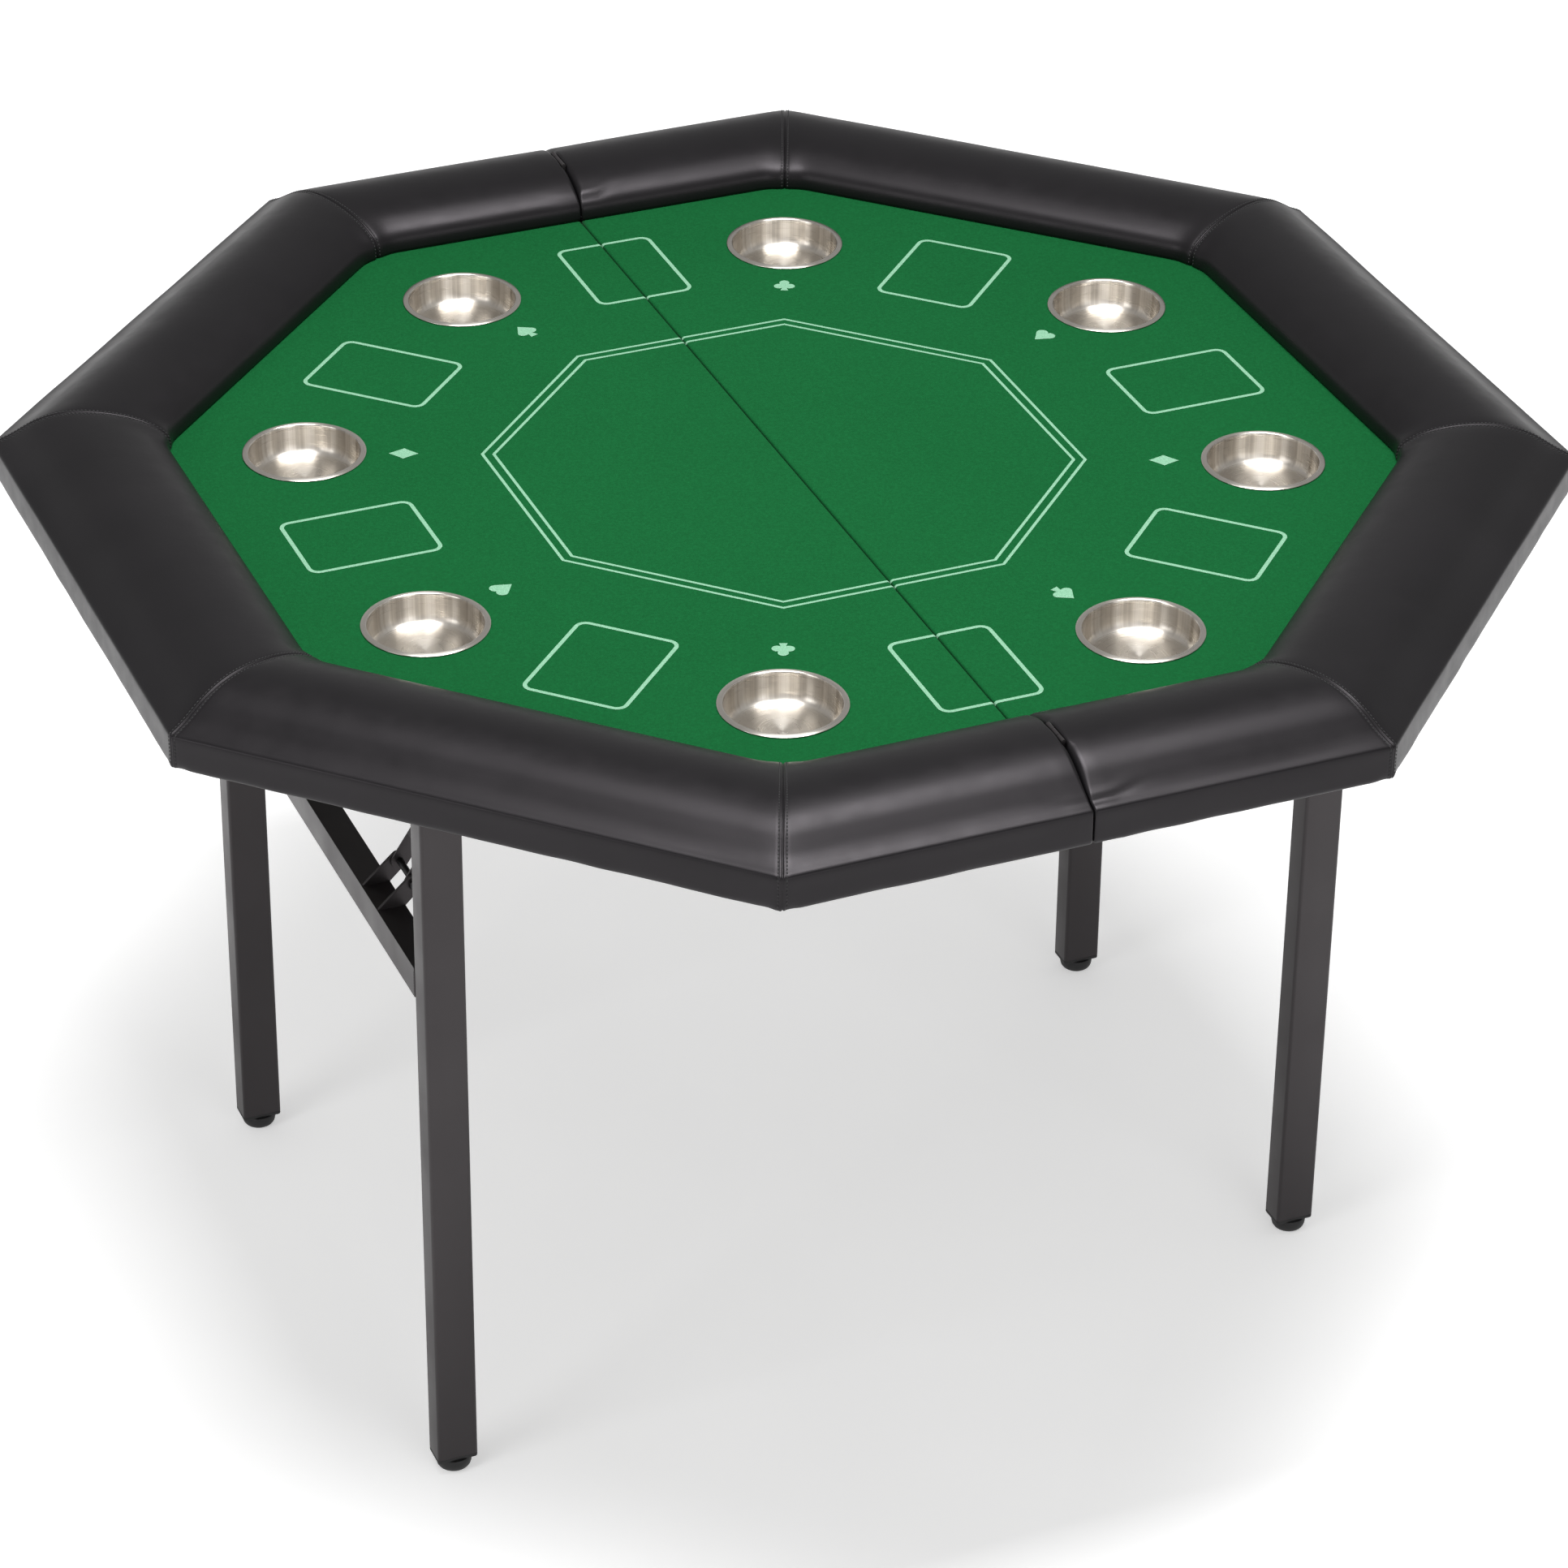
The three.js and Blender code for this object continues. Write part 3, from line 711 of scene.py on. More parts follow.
def cloth_settings(piece, pins):
    cloth = piece.modifiers.new("Cloth", "CLOTH")
    settings = cloth.settings
    settings.quality = 6
    settings.mass = 0.35
    settings.tension_stiffness = 25
    settings.compression_stiffness = 25
    settings.shear_stiffness = 5
    settings.bending_stiffness = 8
    settings.air_damping = 2
    settings.use_pressure = True
    settings.uniform_pressure_force = 3.0
    settings.shrink_min = -0.001
    settings.vertex_group_mass = pins
    settings.effector_weights.gravity = 0
    cloth.collision_settings.use_collision = False
    cloth.point_cache.frame_start = 1
    cloth.point_cache.frame_end = SETTLE_FRAMES


def settle_vinyl(section, places, seed):
    """Blows the cover up a little as cloth, and gives back how far each point of its grid moved."""
    start = rail_points(section, places)
    flat = start.reshape(-1, 3)
    rows = len(section.out)
    piece = mesh_piece("settling_vinyl", flat, grid_faces(len(places), rows, flip=True), None)
    loose = section.crown + 0.55 * section.lip + 0.35 * section.face
    held = 1 - np.clip(loose, 0, 1)[None, :] * np.ones((len(places), 1))
    held = np.maximum(held, bump_at(mitre_distance(places), 0, 5 * MM)[:, None])
    ends = np.minimum(places, RAIL_LENGTH - places)
    held = np.maximum(held, smooth_step(26 * MM, 12 * MM, ends)[:, None])
    held = np.clip(held + 0.02 * ripple(np.arange(held.size), 3, seed).reshape(held.shape), 0, 1)
    pins = piece.vertex_groups.new(name="pins")
    for i, weight in enumerate(held.ravel()):
        if weight > 0.02:
            pins.add([i], float(weight), "REPLACE")
    cloth_settings(piece, "pins")
    scene = bpy.context.scene
    for number in range(1, SETTLE_FRAMES + 1):
        scene.frame_set(number)
    settled = piece.evaluated_get(bpy.context.evaluated_depsgraph_get())
    after = np.zeros(len(flat) * 3)
    settled.data.vertices.foreach_get("co", after)
    scene.frame_set(1)
    bpy.data.objects.remove(piece)
    moved = after.reshape(start.shape) - start
    for _ in range(SETTLE_SMOOTHING):
        moved[1:-1] = 0.25 * moved[:-2] + 0.5 * moved[1:-1] + 0.25 * moved[2:]
        moved[:, 1:-1] = 0.25 * moved[:, :-2] + 0.5 * moved[:, 1:-1] + 0.25 * moved[:, 2:]
    size = np.linalg.norm(moved, axis=2, keepdims=True) + 1e-9
    return moved * np.tanh(size / SETTLE_CAP) * SETTLE_CAP / size


def resample(values, old_columns, new_columns, old_rows, new_rows):
    """Takes a grid of vectors from one set of columns and rows to another."""
    across = np.stack([
        [np.interp(new_columns, old_columns, values[:, j, k]) for j in range(values.shape[1])]
        for k in range(3)
    ])
    return np.stack([
        [np.interp(new_rows, old_rows, across[k, :, i]) for i in range(len(new_columns))]
        for k in range(3)
    ], axis=2)


def seam_end(section, at_front, crown_rounding, extra_sink):
    """Columns that round the rail's end over into the seam, then close it down to the board."""
    rounding = 2.2 * MM + crown_rounding * section.end_crown
    columns = []
    turn = np.linspace(0, math.pi / 2, SEAM_ROUNDING_STEPS + 1)
    plane = 0.0 if at_front else RAIL_LENGTH
    sign = 1 if at_front else -1
    for phi in turn:
        distance = section.end_gap + rounding * (1 - math.sin(phi))
        sink = rounding * (1 - math.cos(phi)) + extra_sink
        columns.append(rail_points(section, [plane], sign * distance, sink)[0])
    foot = FELT_TOP + np.where(section.out < 8 * MM, 0.4 * MM, -2 * MM)
    for share in (0.35, 0.7, 1.0):
        sink = rounding + extra_sink + share * 1.2 * MM
        column = rail_points(section, [plane], sign * section.end_gap, sink)[0]
        column[:, 2] -= share * np.maximum(column[:, 2] - foot, 0)
        columns.append(column)
    return np.array(columns[::-1] if at_front else columns)


def keep_below_crest(grid):
    """Eases the highest points down, so that none stands above the crest."""
    softness = 1.2 * MM
    start = COVER_CREST - 0.2 * MM - softness
    over = np.maximum(grid[:, :, 2] - start, 0)
    grid[:, :, 2] += softness * np.tanh(over / softness) - over


def build_rail(name, side):
    """The vinyl cover of one half, as one sheet sewn at its four mitres, and its stitching."""
    fine = Section()
    coarse = Section(0.5)
    fine_places = rail_columns(True)
    coarse_places = rail_columns(False)
    ends = RAIL_ENDS[name]
    seed = ends["seed"]
    sink = dents(fine, fine_places, seed) + end_folds(fine, fine_places, seed, ends["folds"])
    grid = rail_points(fine, fine_places, 0.0, sink)
    moved = settle_vinyl(coarse, coarse_places, seed)
    grid = grid + resample(moved, coarse_places, fine_places, coarse.length, fine.length)
    front = seam_end(fine, True, ends["crown_rounding"], sink[0])
    back = seam_end(fine, False, ends["crown_rounding"], sink[-1])
    grid = np.concatenate([front, grid, back])
    keep_below_crest(grid)
    grid[:, :, 0] *= side
    faces = grid_faces(*grid.shape[:2], flip=side > 0)
    cover = mesh_piece(f"{name}_rail_cover", grid.reshape(-1, 3), faces, VINYL)
    add_modifier(cover, "SOLIDIFY", thickness=VINYL_THICK, offset=-1)
    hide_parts(*(f"{name}_rail_{part}" for part in RAIL_PARTS))
    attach(cover, f"{name}_half")
    press_when_folded(cover)
    stitch_rail(name, grid, len(front), fine_places, fine)


def press_when_folded(piece):
    """Gives the piece a copy of its mesh as its own."""
    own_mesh(piece)


def surface_normals(grid, side_sign):
    across = np.gradient(grid, axis=0)
    down = np.gradient(grid, axis=1)
    normal = np.cross(down, across) * side_sign
    return normal / (np.linalg.norm(normal, axis=2, keepdims=True) + 1e-12)


def value_along(rows, travelled, place):
    """The vector at a distance along a line, from its rows and their distances."""
    return np.array([np.interp(place, travelled, rows[:, i]) for i in range(3)])


def stitch_rail(name, grid, first, places, section):
    """Two rows of thread beads beside every mitre seam, lying on the vinyl."""
    pitch, length, radius = 3.2 * MM, 2.5 * MM, 0.55 * MM
    normals = surface_normals(grid, SIDES[name])
    crown_row = np.argmax(section.up)
    if normals[first, crown_row, 2] < 0:
        normals = -normals
    parts = []
    for mitre in range(4):
        line = (2 * mitre + 1) * HALF_LENGTH
        for offset in (-STITCH_OFFSET, STITCH_OFFSET):
            column = first + int(np.argmin(np.abs(places - line - offset)))
            seen = section.length < section.length[-1] - 20 * MM
            path = grid[column][seen]
            normal = normals[column][seen]
            travelled = running_length(path)
            start = 9 * MM
            count = int((travelled[-1] - start) / pitch)
            for k in range(count):
                begin = start + k * pitch
                ends = [value_along(path, travelled, place) for place in (begin, begin + length)]
                parts.append(thread_bead(*ends, value_along(normal, travelled, begin), radius))
    points, faces = join_parts(parts)
    stitches = mesh_piece(f"{name}_rail_stitching", points, faces, THREAD)
    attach(stitches, f"{name}_half")
    press_when_folded(stitches)


def thread_bead(start, end, up, radius):
    """One stitch: a short thread whose ends dive into the vinyl."""
    sides = 6
    along = end - start
    forward = unit(along)
    across = unit(np.cross(forward, up))
    lift = np.cross(across, forward)
    rings = ((0.0, -0.9, 0.35), (0.14, -0.1, 0.9), (0.5, 0.25, 1.0), (0.86, -0.1, 0.9), (1.0, -0.9, 0.35))
    points = []
    for share, height, size in rings:
        centre = start + along * share + lift * height * radius
        for a in turn_angles(sides):
            points.append(centre + radius * size * (across * math.cos(a) + lift * math.sin(a)))
    return points, tube_faces(len(rings), sides)


# ---------- felt and its print ----------
SEAM_FACE = 0.45 * MM
SEAM_ROLL_R = 2.6 * MM
SEAM_ROLL_START = SEAM_FACE + SEAM_ROLL_R
SEAM_DROP = 14 * MM
FELT_TUCK = 6 * MM
FELT_CLOTH_THICK = 0.45 * MM
FELT_CUT_APOTHEM = FELT_APOTHEM + FELT_TUCK
FELT_CUT_CORNER = FELT_CUT_APOTHEM * MITRE
FELT_HOLE_R = CUP_FLANGE_R - 3.4 * MM
SEAM_QUARTER_ROLL = SEAM_ROLL_R * math.pi / 2


def on_felt(x, y, lift=0.0):
    """Point on the felt of the right half. x runs along the cloth, which rolls down into the seam."""
    past = SEAM_ROLL_START - x
    if past <= 0:
        return (x, y, FELT_TOP + lift)
    radius = SEAM_ROLL_R + lift
    angle = past / SEAM_ROLL_R
    if angle < math.pi / 2:
        return (
            SEAM_ROLL_START - radius * math.sin(angle),
            y,
            FELT_TOP - SEAM_ROLL_R + radius * math.cos(angle),
        )
    drop = past - SEAM_QUARTER_ROLL
    return (SEAM_FACE - lift, y, FELT_TOP - SEAM_ROLL_R - drop)


def closed_loop(surface, points):
    """Adds a closed line of edges, and gives back its vertices and edges."""
    vertices = [surface.verts.new(point) for point in points]
    pairs = zip(vertices, vertices[1:] + vertices[:1])
    return vertices, [surface.edges.new(pair) for pair in pairs]


def right_felt_surface():
    """The right half's felt: a flat half octagon with four holes, and a strip that rolls down the seam."""
    seam_rows = 48
    hole_points = 72
    apothem, corner = FELT_CUT_APOTHEM, FELT_CUT_CORNER
    seam_y = np.linspace(apothem, -apothem, seam_rows)
    outline = [(SEAM_ROLL_START, y) for y in seam_y]
    outline += [(corner, -apothem), (apothem, -corner), (apothem, corner), (corner, apothem)]
    surface = bmesh.new()
    vertices, edges = closed_loop(surface, [on_felt(x, y) for x, y in outline])
    for place in CUP_PLACES:
        centre = middle_of(f"right_cup_{place}")
        edges += closed_loop(surface, [
            on_felt(centre.x + FELT_HOLE_R * math.cos(a), centre.y + FELT_HOLE_R * math.sin(a))
            for a in turn_angles(hole_points)
        ])[1]
    bmesh.ops.triangle_fill(surface, edges=edges, use_beauty=True, use_dissolve=False)
    rolled = np.concatenate([
        np.linspace(0, SEAM_QUARTER_ROLL, 9)[1:],
        SEAM_QUARTER_ROLL + np.array([0.3, 0.65, 1.0]) * SEAM_DROP,
    ])
    before = vertices[:seam_rows]
    for distance in rolled:
        after = [surface.verts.new(on_felt(SEAM_ROLL_START - distance, y)) for y in seam_y]
        for i in range(seam_rows - 1):
            surface.faces.new((before[i], before[i + 1], after[i + 1], after[i]))
        before = after
    return surface


def build_felt(name, side):
    """The felt cloth of one half, flat shaded where it is flat, and the layout printed on it."""
    surface = right_felt_surface()
    for vertex in surface.verts:
        vertex.co.x *= side
    bmesh.ops.recalc_face_normals(surface, faces=surface.faces)
    if max(surface.faces, key=lambda f: f.calc_area()).normal.z < 0:
        bmesh.ops.reverse_faces(surface, faces=surface.faces)
    mesh = bpy.data.meshes.new(f"{name}_felt_cloth")
    surface.to_mesh(mesh)
    surface.free()
    mesh.polygons.foreach_set("use_smooth", [face.normal.z < 0.999 for face in mesh.polygons])
    mesh.materials.append(FELT)
    cloth = placed(f"{name}_felt_cloth", mesh)
    add_modifier(cloth, "SOLIDIFY", thickness=FELT_CLOTH_THICK, offset=-1)
    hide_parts(f"{name}_felt")
    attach(cloth, f"{name}_half")
    printed = build_print(name, side)


PRINT_LIFT = 0.22 * MM
LINE_WIDTH = 2.6 * MM
BOX_LINE_WIDTH = 3.4 * MM
RING_CORNERS = (249 * MM, 239.5 * MM)
CARD_BOX = {"radial": 110 * MM, "across": 85 * MM, "radius": 368 * MM, "corner": 8 * MM}
SUIT_CIRCLE = 314 * MM
SUIT_HEIGHTS = {"club": 20 * MM, "heart": 20 * MM, "spade": 22 * MM, "diamond": 25 * MM}
SUITS = {
    "right": {67.5: "club", 22.5: "heart", -22.5: "diamond", -67.5: "spade"},
    "left": {-112.5: "club", -157.5: "heart", 157.5: "diamond", 112.5: "spade"},
}


def octagon_path(corner_radius):
    angles = np.radians(22.5 + 45 * np.arange(8))
    return corner_radius * np.stack([np.cos(angles), np.sin(angles)], axis=1)


def card_box_path(degrees):
    """Rounded rectangle whose long side points out from the middle of the table."""
    box = rounded_rectangle(CARD_BOX["radial"], CARD_BOX["across"], CARD_BOX["corner"], steps=6)
    a = math.radians(degrees)
    turn = np.array([[math.cos(a), -math.sin(a)], [math.sin(a), math.cos(a)]])
    return (box + (CARD_BOX["radius"], 0)) @ turn.T


def printed_line(path, width, side):
    """A closed line of that width on the right half's felt, cut off where it goes down the seam."""
    path = path * np.array([side, 1])
    closed = np.vstack([path, path[:1]])
    dense = []
    for start, end in zip(closed[:-1], closed[1:]):
        near_seam = min(abs(start[0]), abs(end[0])) < 20 * MM or start[0] * end[0] < 0
        step = 0.8 * MM if near_seam else 12 * MM
        count = max(1, math.ceil(np.linalg.norm(end - start) / step))
        dense += [start + (end - start) * k / count for k in range(count)]
    dense = np.array(dense)
    before = dense - np.roll(dense, 1, axis=0)
    after = np.roll(dense, -1, axis=0) - dense
    before = unit_rows(before)
    after = unit_rows(after)
    tangent = unit_rows(before + after)
    stretch = 1 / np.maximum((tangent * after).sum(axis=1), 0.5)
    normal = np.stack([-tangent[:, 1], tangent[:, 0]], axis=1) * stretch[:, None] * width / 2
    lowest = SEAM_ROLL_START - SEAM_QUARTER_ROLL - 2 * MM
    points, faces = [], []
    for sign in (-1, 1):
        points += [on_felt(x, y, PRINT_LIFT) for x, y in dense + sign * normal]
    count = len(dense)
    for i in range(count):
        j = (i + 1) % count
        if min(dense[i][0], dense[j][0]) > lowest:
            faces.append((i, j, count + j, count + i))
    return points, faces


def inside_heart(x, y):
    """Two round lobes over a straight-sided point."""
    x = abs(x)
    lobe = (x - 0.42) ** 2 + (y - 0.45) ** 2 < 0.25
    between = x < 0.42 and 0.1 < y < 0.45
    point = -0.95 < y < 0.151 and x < 0.745 * (y + 0.95)
    return lobe or between or point


def inside_suit(suit, x, y):
    """True where a point lies inside a suit's shape, which is about 2 high and stands upright."""
    stem = -1.0 < y < 0.1 and abs(x) < 0.09 + 0.30 * max(0.0, -y - 0.45) ** 1.3 * 2.2
    if suit == "diamond":
        return (abs(x) / 0.72) ** 0.96 + abs(y) ** 0.96 < 1
    if suit == "heart":
        return inside_heart(x, y)
    if suit == "spade":
        return inside_heart(x / 0.92, (0.24 - y) / 0.80) or stem
    lobes = ((0, 0.50, 0.44), (-0.48, -0.16, 0.44), (0.48, -0.16, 0.44), (0, 0.05, 0.25))
    return any((x - cx) ** 2 + (y - cy) ** 2 < r * r for cx, cy, r in lobes) or stem


def suit_outline(suit):
    """The outermost inside point along each direction from the shape's middle."""
    outline = []
    for a in np.linspace(0, 2 * math.pi, 97)[:-1]:
        x, y = math.cos(a), math.sin(a)
        reach = next(r for r in np.arange(1.6, 0, -0.01) if inside_suit(suit, r * x, r * y))
        outline.append((reach * x, reach * y))
    return np.array(outline)


def printed_suit(suit, degrees, side):
    """A suit's shape on the suit circle, with its top pointing out."""
    shape = suit_outline(suit) * SUIT_HEIGHTS[suit] / 2
    a = math.radians(degrees)
    outward = np.array([math.cos(a), math.sin(a)])
    across = np.array([outward[1], -outward[0]])
    plan = SUIT_CIRCLE * outward + shape[:, :1] * across + shape[:, 1:] * outward
    plan = plan * np.array([side, 1])
    points = [on_felt(x, y, PRINT_LIFT) for x, y in plan]
    triangles = tessellate_polygon([[Vector((x, y, 0)) for x, y in plan]])
    return points, [tuple(t) for t in triangles]


def build_print(name, side):
    """The layout of one half: its share of the octagon lines, its card boxes and its suits."""
    parts = [printed_line(octagon_path(corner), LINE_WIDTH, side) for corner in RING_CORNERS]
    boxes = [90, 45, 0, -45, -90] if side > 0 else [90, 135, 180, -135, -90]
    parts += [printed_line(card_box_path(degrees), BOX_LINE_WIDTH, side) for degrees in boxes]
    parts += [printed_suit(suit, degrees, side) for degrees, suit in SUITS[name].items()]
    points, faces = join_parts(parts)
    points = np.array(points) * (side, 1, 1)
    layout = mesh_piece(f"{name}_felt_print", points, faces, PRINT)
    turned = bmesh.new()
    turned.from_mesh(layout.data)
    bmesh.ops.delete(turned, geom=[v for v in turned.verts if not v.link_faces], context="VERTS")
    level = 0.01
    into_the_cloth = [
        face for face in turned.faces
        if face.normal.z < -level or (abs(face.normal.z) <= level and face.normal.x * side > 0)
    ]
    bmesh.ops.reverse_faces(turned, faces=into_the_cloth)
    turned.to_mesh(layout.data)
    turned.free()
    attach(layout, f"{name}_half")
    return layout


# ---------- drink cups ----------
# Radius and height above the felt in millimetres: underside, outer wall, flange, inside.
CUP_PROFILE = (
    (0, -25.3), (37, -25.25), (41.5, -24.6), (44.6, -22.6), (46.4, -19), (47, -14), (47, 0.35),
    (50.8, 0.3), (51.2, 0.5), (51.3, 0.85), (51.1, 1.15), (50.5, 1.4), (49.2, 1.75), (47.6, 2.02),
    (46.9, 1.9), (46.35, 1.4), (46.08, 0.5), (46, -2), (45.95, -10), (45.6, -16), (44.6, -19.8),
    (42.6, -22.4), (39.6, -23.8), (36, -24.25), (30, -24.3), (15, -24.25), (0, -24.2),
)


def build_cup(name, place):
    """A spun cup. Its spin attribute holds the direction from its axis and the place along its profile."""
    centre = middle_of(f"{name}_cup_{place}")
    segments = 96
    profile = np.array(CUP_PROFILE) * MM
    points, faces = lathe(profile, segments, (centre.x, centre.y, FELT_TOP))
    cup = mesh_piece(f"{name}_{place}_drink_cup", points, faces, STAINLESS)
    spin = cup.data.attributes.new("spin", "FLOAT_VECTOR", "POINT")
    values = []
    lengths = running_length(profile)
    for x, y, z in points:
        radius = math.hypot(x - centre.x, y - centre.y)
        a = math.atan2(y - centre.y, x - centre.x)
        row = int(np.argmin(np.hypot(profile[:, 0] - radius, profile[:, 1] - (z - FELT_TOP))))
        values += [math.cos(a), math.sin(a), float(lengths[row])]
    spin.data.foreach_set("vector", values)
    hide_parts(f"{name}_cup_{place}")
    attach(cup, f"{name}_half")


# ---------- steel legs, glides and fasteners ----------
def dress_node(name, material, bevel=0.5 * MM):
    """Gives a CAD node its finish, smooth rounds and small rolled edges. Its mesh stays as it is."""
    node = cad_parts[name]
    node.data.materials.clear()
    node.data.materials.append(material)
    own_normals = node.data.attributes.get("custom_normal")
    if own_normals is not None:
        node.data.attributes.remove(own_normals)
    node.data.polygons.foreach_set("use_smooth", [True] * len(node.data.polygons))
    add_modifier(node, "WELD", merge_threshold=0.01 * MM)
    if bevel:
        add_modifier(
            node, "BEVEL", width=bevel, segments=2, limit_method="ANGLE",
            angle_limit=math.radians(35), harden_normals=True,
        )


def dress_frame():
    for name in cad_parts:
        if name.endswith(("_leg", "_cross_bar", "_leg_bracket", "_stay", "_stay_keeper")):
            dress_node(name, LEG_PAINT)
        elif "_hinge_" in name:
            dress_node(name, LEG_PAINT, 0.25 * MM)
        elif name.endswith(("_bolt", "_strike")):
            dress_node(name, OXIDE, 0.25 * MM)
        elif name == "seam_catch":
            dress_node(name, PLASTIC, 1.2 * MM)
        elif name.endswith("_board"):
            dress_node(name, LAMINATE, 0.6 * MM)


def loft(outlines, heights, centre):
    """Closed solid through outlines of equal point counts at those heights."""
    points = [
        (centre[0] + x, centre[1] + y, z)
        for outline, z in zip(outlines, heights) for x, y in outline
    ]
    return points, tube_faces(len(heights), len(outlines[0]))


# Radius and height of the glide's dome in millimetres.
GLIDE_DOME = (
    (0, 0), (5, 0.02), (8.8, 0.25), (11.2, 0.95), (13, 2.3), (14.2, 4.1), (14.8, 6.2),
    (15, 8.5), (15, 12.3), (14.6, 12.8), (0, 12.8),
)
# The lip over it in millimetres: how much narrower than the leg's tube, corner radius, height.
GLIDE_LIP = ((1.4, 2.6, 12.5), (0.3, 3, 12.8), (0, 3.1, 13.3), (0, 3.1, 15.3), (0.6, 2.9, 15.7))


def build_glide(node_name):
    """Moulded foot: a dome that stands on the floor under a lip that closes the tube."""
    floor_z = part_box(node_name)[0].z
    centre = middle_of(node_name)
    tube_low, tube_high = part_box(node_name.replace("foot_glide", "leg"))
    width, depth = tube_high.x - tube_low.x, tube_high.y - tube_low.y
    dome = lathe(np.array(GLIDE_DOME) * MM, 48, (centre.x, centre.y, floor_z))
    narrower, corners, heights = np.array(GLIDE_LIP).T * MM
    outlines = [rounded_rectangle(width - by, depth - by, r) for by, r in zip(narrower, corners)]
    lip = loft(outlines, heights, centre)
    points, faces = join_parts([dome, lip])
    body = node_name.split("_")[0] + "_leg_frame"
    glide = mesh_piece(node_name.replace("foot_glide", "moulded_glide"), points, faces, PLASTIC)
    glide.data.set_sharp_from_angle(angle=math.radians(40))
    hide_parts(node_name)
    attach(glide, body)


def weld_bead(start, end, radius, seed):
    """A lumpy line of weld along an inside corner."""
    start, end = np.array(start), np.array(end)
    length = np.linalg.norm(end - start)
    forward = (end - start) / length
    helper = np.array([0, 0, 1.0]) if abs(forward[2]) < 0.9 else np.array([1.0, 0, 0])
    across = unit(np.cross(forward, helper))
    up = np.cross(across, forward)
    steps = max(6, int(length / (0.8 * MM)))
    sides = 8
    points = []
    for i in range(steps + 1):
        share = i / steps
        taper = math.sqrt(max(0.02, 1 - abs(2 * share - 1) ** 6))
        lump = 0.82 + 0.18 * abs(math.sin(share * length / (2.6 * MM) * math.pi + seed))
        centre = start + (end - start) * share
        for a in turn_angles(sides):
            points.append(centre + radius * taper * lump * (across * math.cos(a) + up * math.sin(a)))
    return points, tube_faces(steps + 1, sides)


# The cross bar's tube, without the ears that stand on it and widen its node's box.
CROSS_BAR_HEIGHT = 28 * MM
CROSS_BAR_WIDTH = 24 * MM
WELD_R = 1.3 * MM


def build_welds(name):
    """Weld lines where the cross bar meets its two legs, under the powder coat."""
    bar_low, bar_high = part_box(f"{name}_cross_bar")
    bar_top = bar_low.z + CROSS_BAR_HEIGHT
    outer_x = bar_low.x if name == "left" else bar_high.x - CROSS_BAR_WIDTH
    inner_x = outer_x + CROSS_BAR_WIDTH
    parts = []
    for y in (bar_low.y, bar_high.y):
        for x in (outer_x + 0.6 * MM, inner_x - 0.6 * MM):
            ends = (x, y, bar_low.z + 1 * MM), (x, y, bar_top - 1 * MM)
            parts.append(weld_bead(*ends, WELD_R, 10 * x + y))
        for z in (bar_low.z + 0.3 * MM, bar_top - 0.3 * MM):
            ends = (outer_x + 2 * MM, y, z), (inner_x - 2 * MM, y, z)
            parts.append(weld_bead(*ends, WELD_R, 7 * z + y))
    points, faces = join_parts(parts)
    welds = mesh_piece(f"{name}_bar_welds", points, faces, LEG_PAINT)
    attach(welds, f"{name}_leg_frame")


# Radius and height of a screw's head in millimetres.
SCREW_HEAD = (
    (0, 0.35), (1.2, 0.35), (1.5, 0.9), (2.2, 1.75), (3.1, 1.7), (3.9, 1.15), (4.3, 0.3),
    (4.35, -0.2), (0, -0.2),
)


def screw_head(x, y, z):
    """A pan head that points down, with a round recess."""
    points, faces = lathe(np.array(SCREW_HEAD)[::-1] * MM, 20, (0, 0, 0))
    points = [(x + px, y + py, z - pz) for px, py, pz in points]
    return points, [face[::-1] for face in faces]


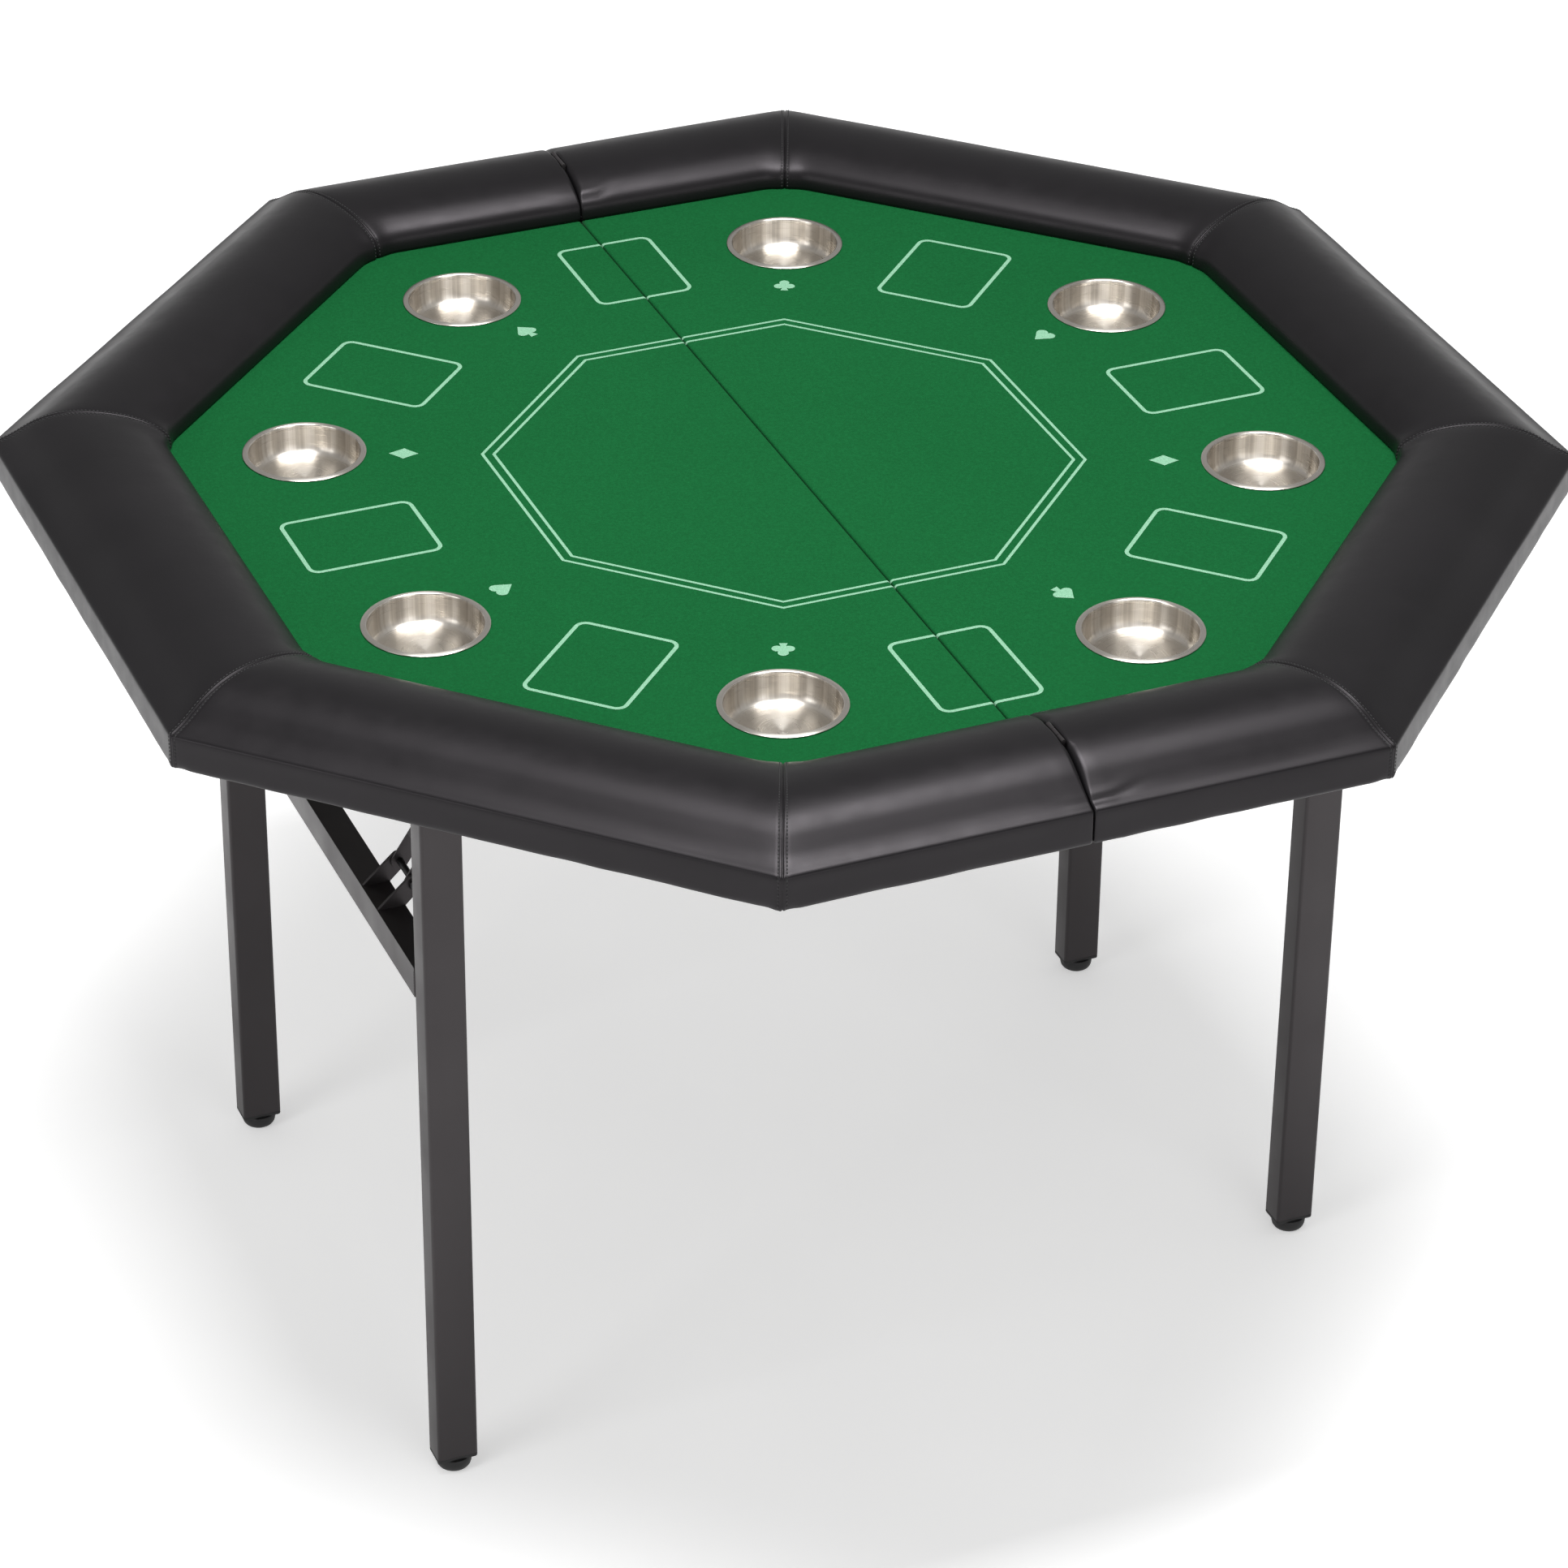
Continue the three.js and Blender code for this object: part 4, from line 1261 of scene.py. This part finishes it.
def build_screws(name):
    """Screws that hold the leg brackets and the stay keepers to the board."""
    places = []
    for row in ROWS:
        middle = middle_of(f"{name}_{row}_leg_bracket")
        places += [(middle.x + dx, middle.y, BOARD_BOTTOM - 3.3 * MM) for dx in (-20 * MM, 20 * MM)]
        low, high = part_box(f"{name}_{row}_stay_keeper")
        outboard = low.x + 6 * MM if name == "left" else high.x - 6 * MM
        middle = (low + high) / 2
        places += [(outboard, middle.y + dy, BOARD_BOTTOM - 2.8 * MM) for dy in (-11 * MM, 11 * MM)]
    points, faces = join_parts([screw_head(*place) for place in places])
    screws = mesh_piece(f"{name}_bracket_screws", points, faces, OXIDE)
    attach(screws, f"{name}_half")


def build_staples(name, side):
    """Wire staples through the turned-under edge of the vinyl."""
    spacing, width, radius = 27 * MM, 10 * MM, 0.45 * MM
    apothem = BOARD_APOTHEM - 18 * MM
    down = np.array([0, 0, -1.0])
    parts = []
    for turn_index, degrees in enumerate(RAIL_TURNS):
        a = math.radians(degrees)
        outward = np.array([math.cos(a), math.sin(a), 0])
        along = np.array([-math.sin(a), math.cos(a), 0])
        reach = apothem * MITRE - 14 * MM
        low = 14 * MM if turn_index == 0 else -reach
        high = -14 * MM if turn_index == 4 else reach
        for t in np.linspace(low, high, round((high - low) / spacing) + 1):
            centre = outward * apothem + along * t + np.array([0, 0, BOARD_BOTTOM - 2.0 * MM])
            tilt = 0.12 * float(ripple(t, 9 * MM, 5 + turn_index))
            reach_out = (along + outward * tilt) * width / 2
            parts.append(thread_bead(centre - reach_out, centre + reach_out, down, radius))
    points, faces = join_parts(parts)
    points = np.array(points) * (side, 1, 1)
    if side < 0:
        faces = [face[::-1] for face in faces]
    staples = mesh_piece(f"{name}_staples", points, faces, WIRE)
    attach(staples, f"{name}_half")


# ---------- the whole table ----------
place_camera()
light_room()
lay_floor()
for side_name, side_sign in SIDES.items():
    build_rail(side_name, side_sign)
    build_felt(side_name, side_sign)
    for cup_place in CUP_PLACES:
        build_cup(side_name, cup_place)
    for row_name in ROWS:
        build_glide(f"{side_name}_{row_name}_foot_glide")
    build_welds(side_name)
    build_screws(side_name)
    build_staples(side_name, side_sign)
dress_frame()

bpy.context.scene.view_settings.view_transform = "Standard"
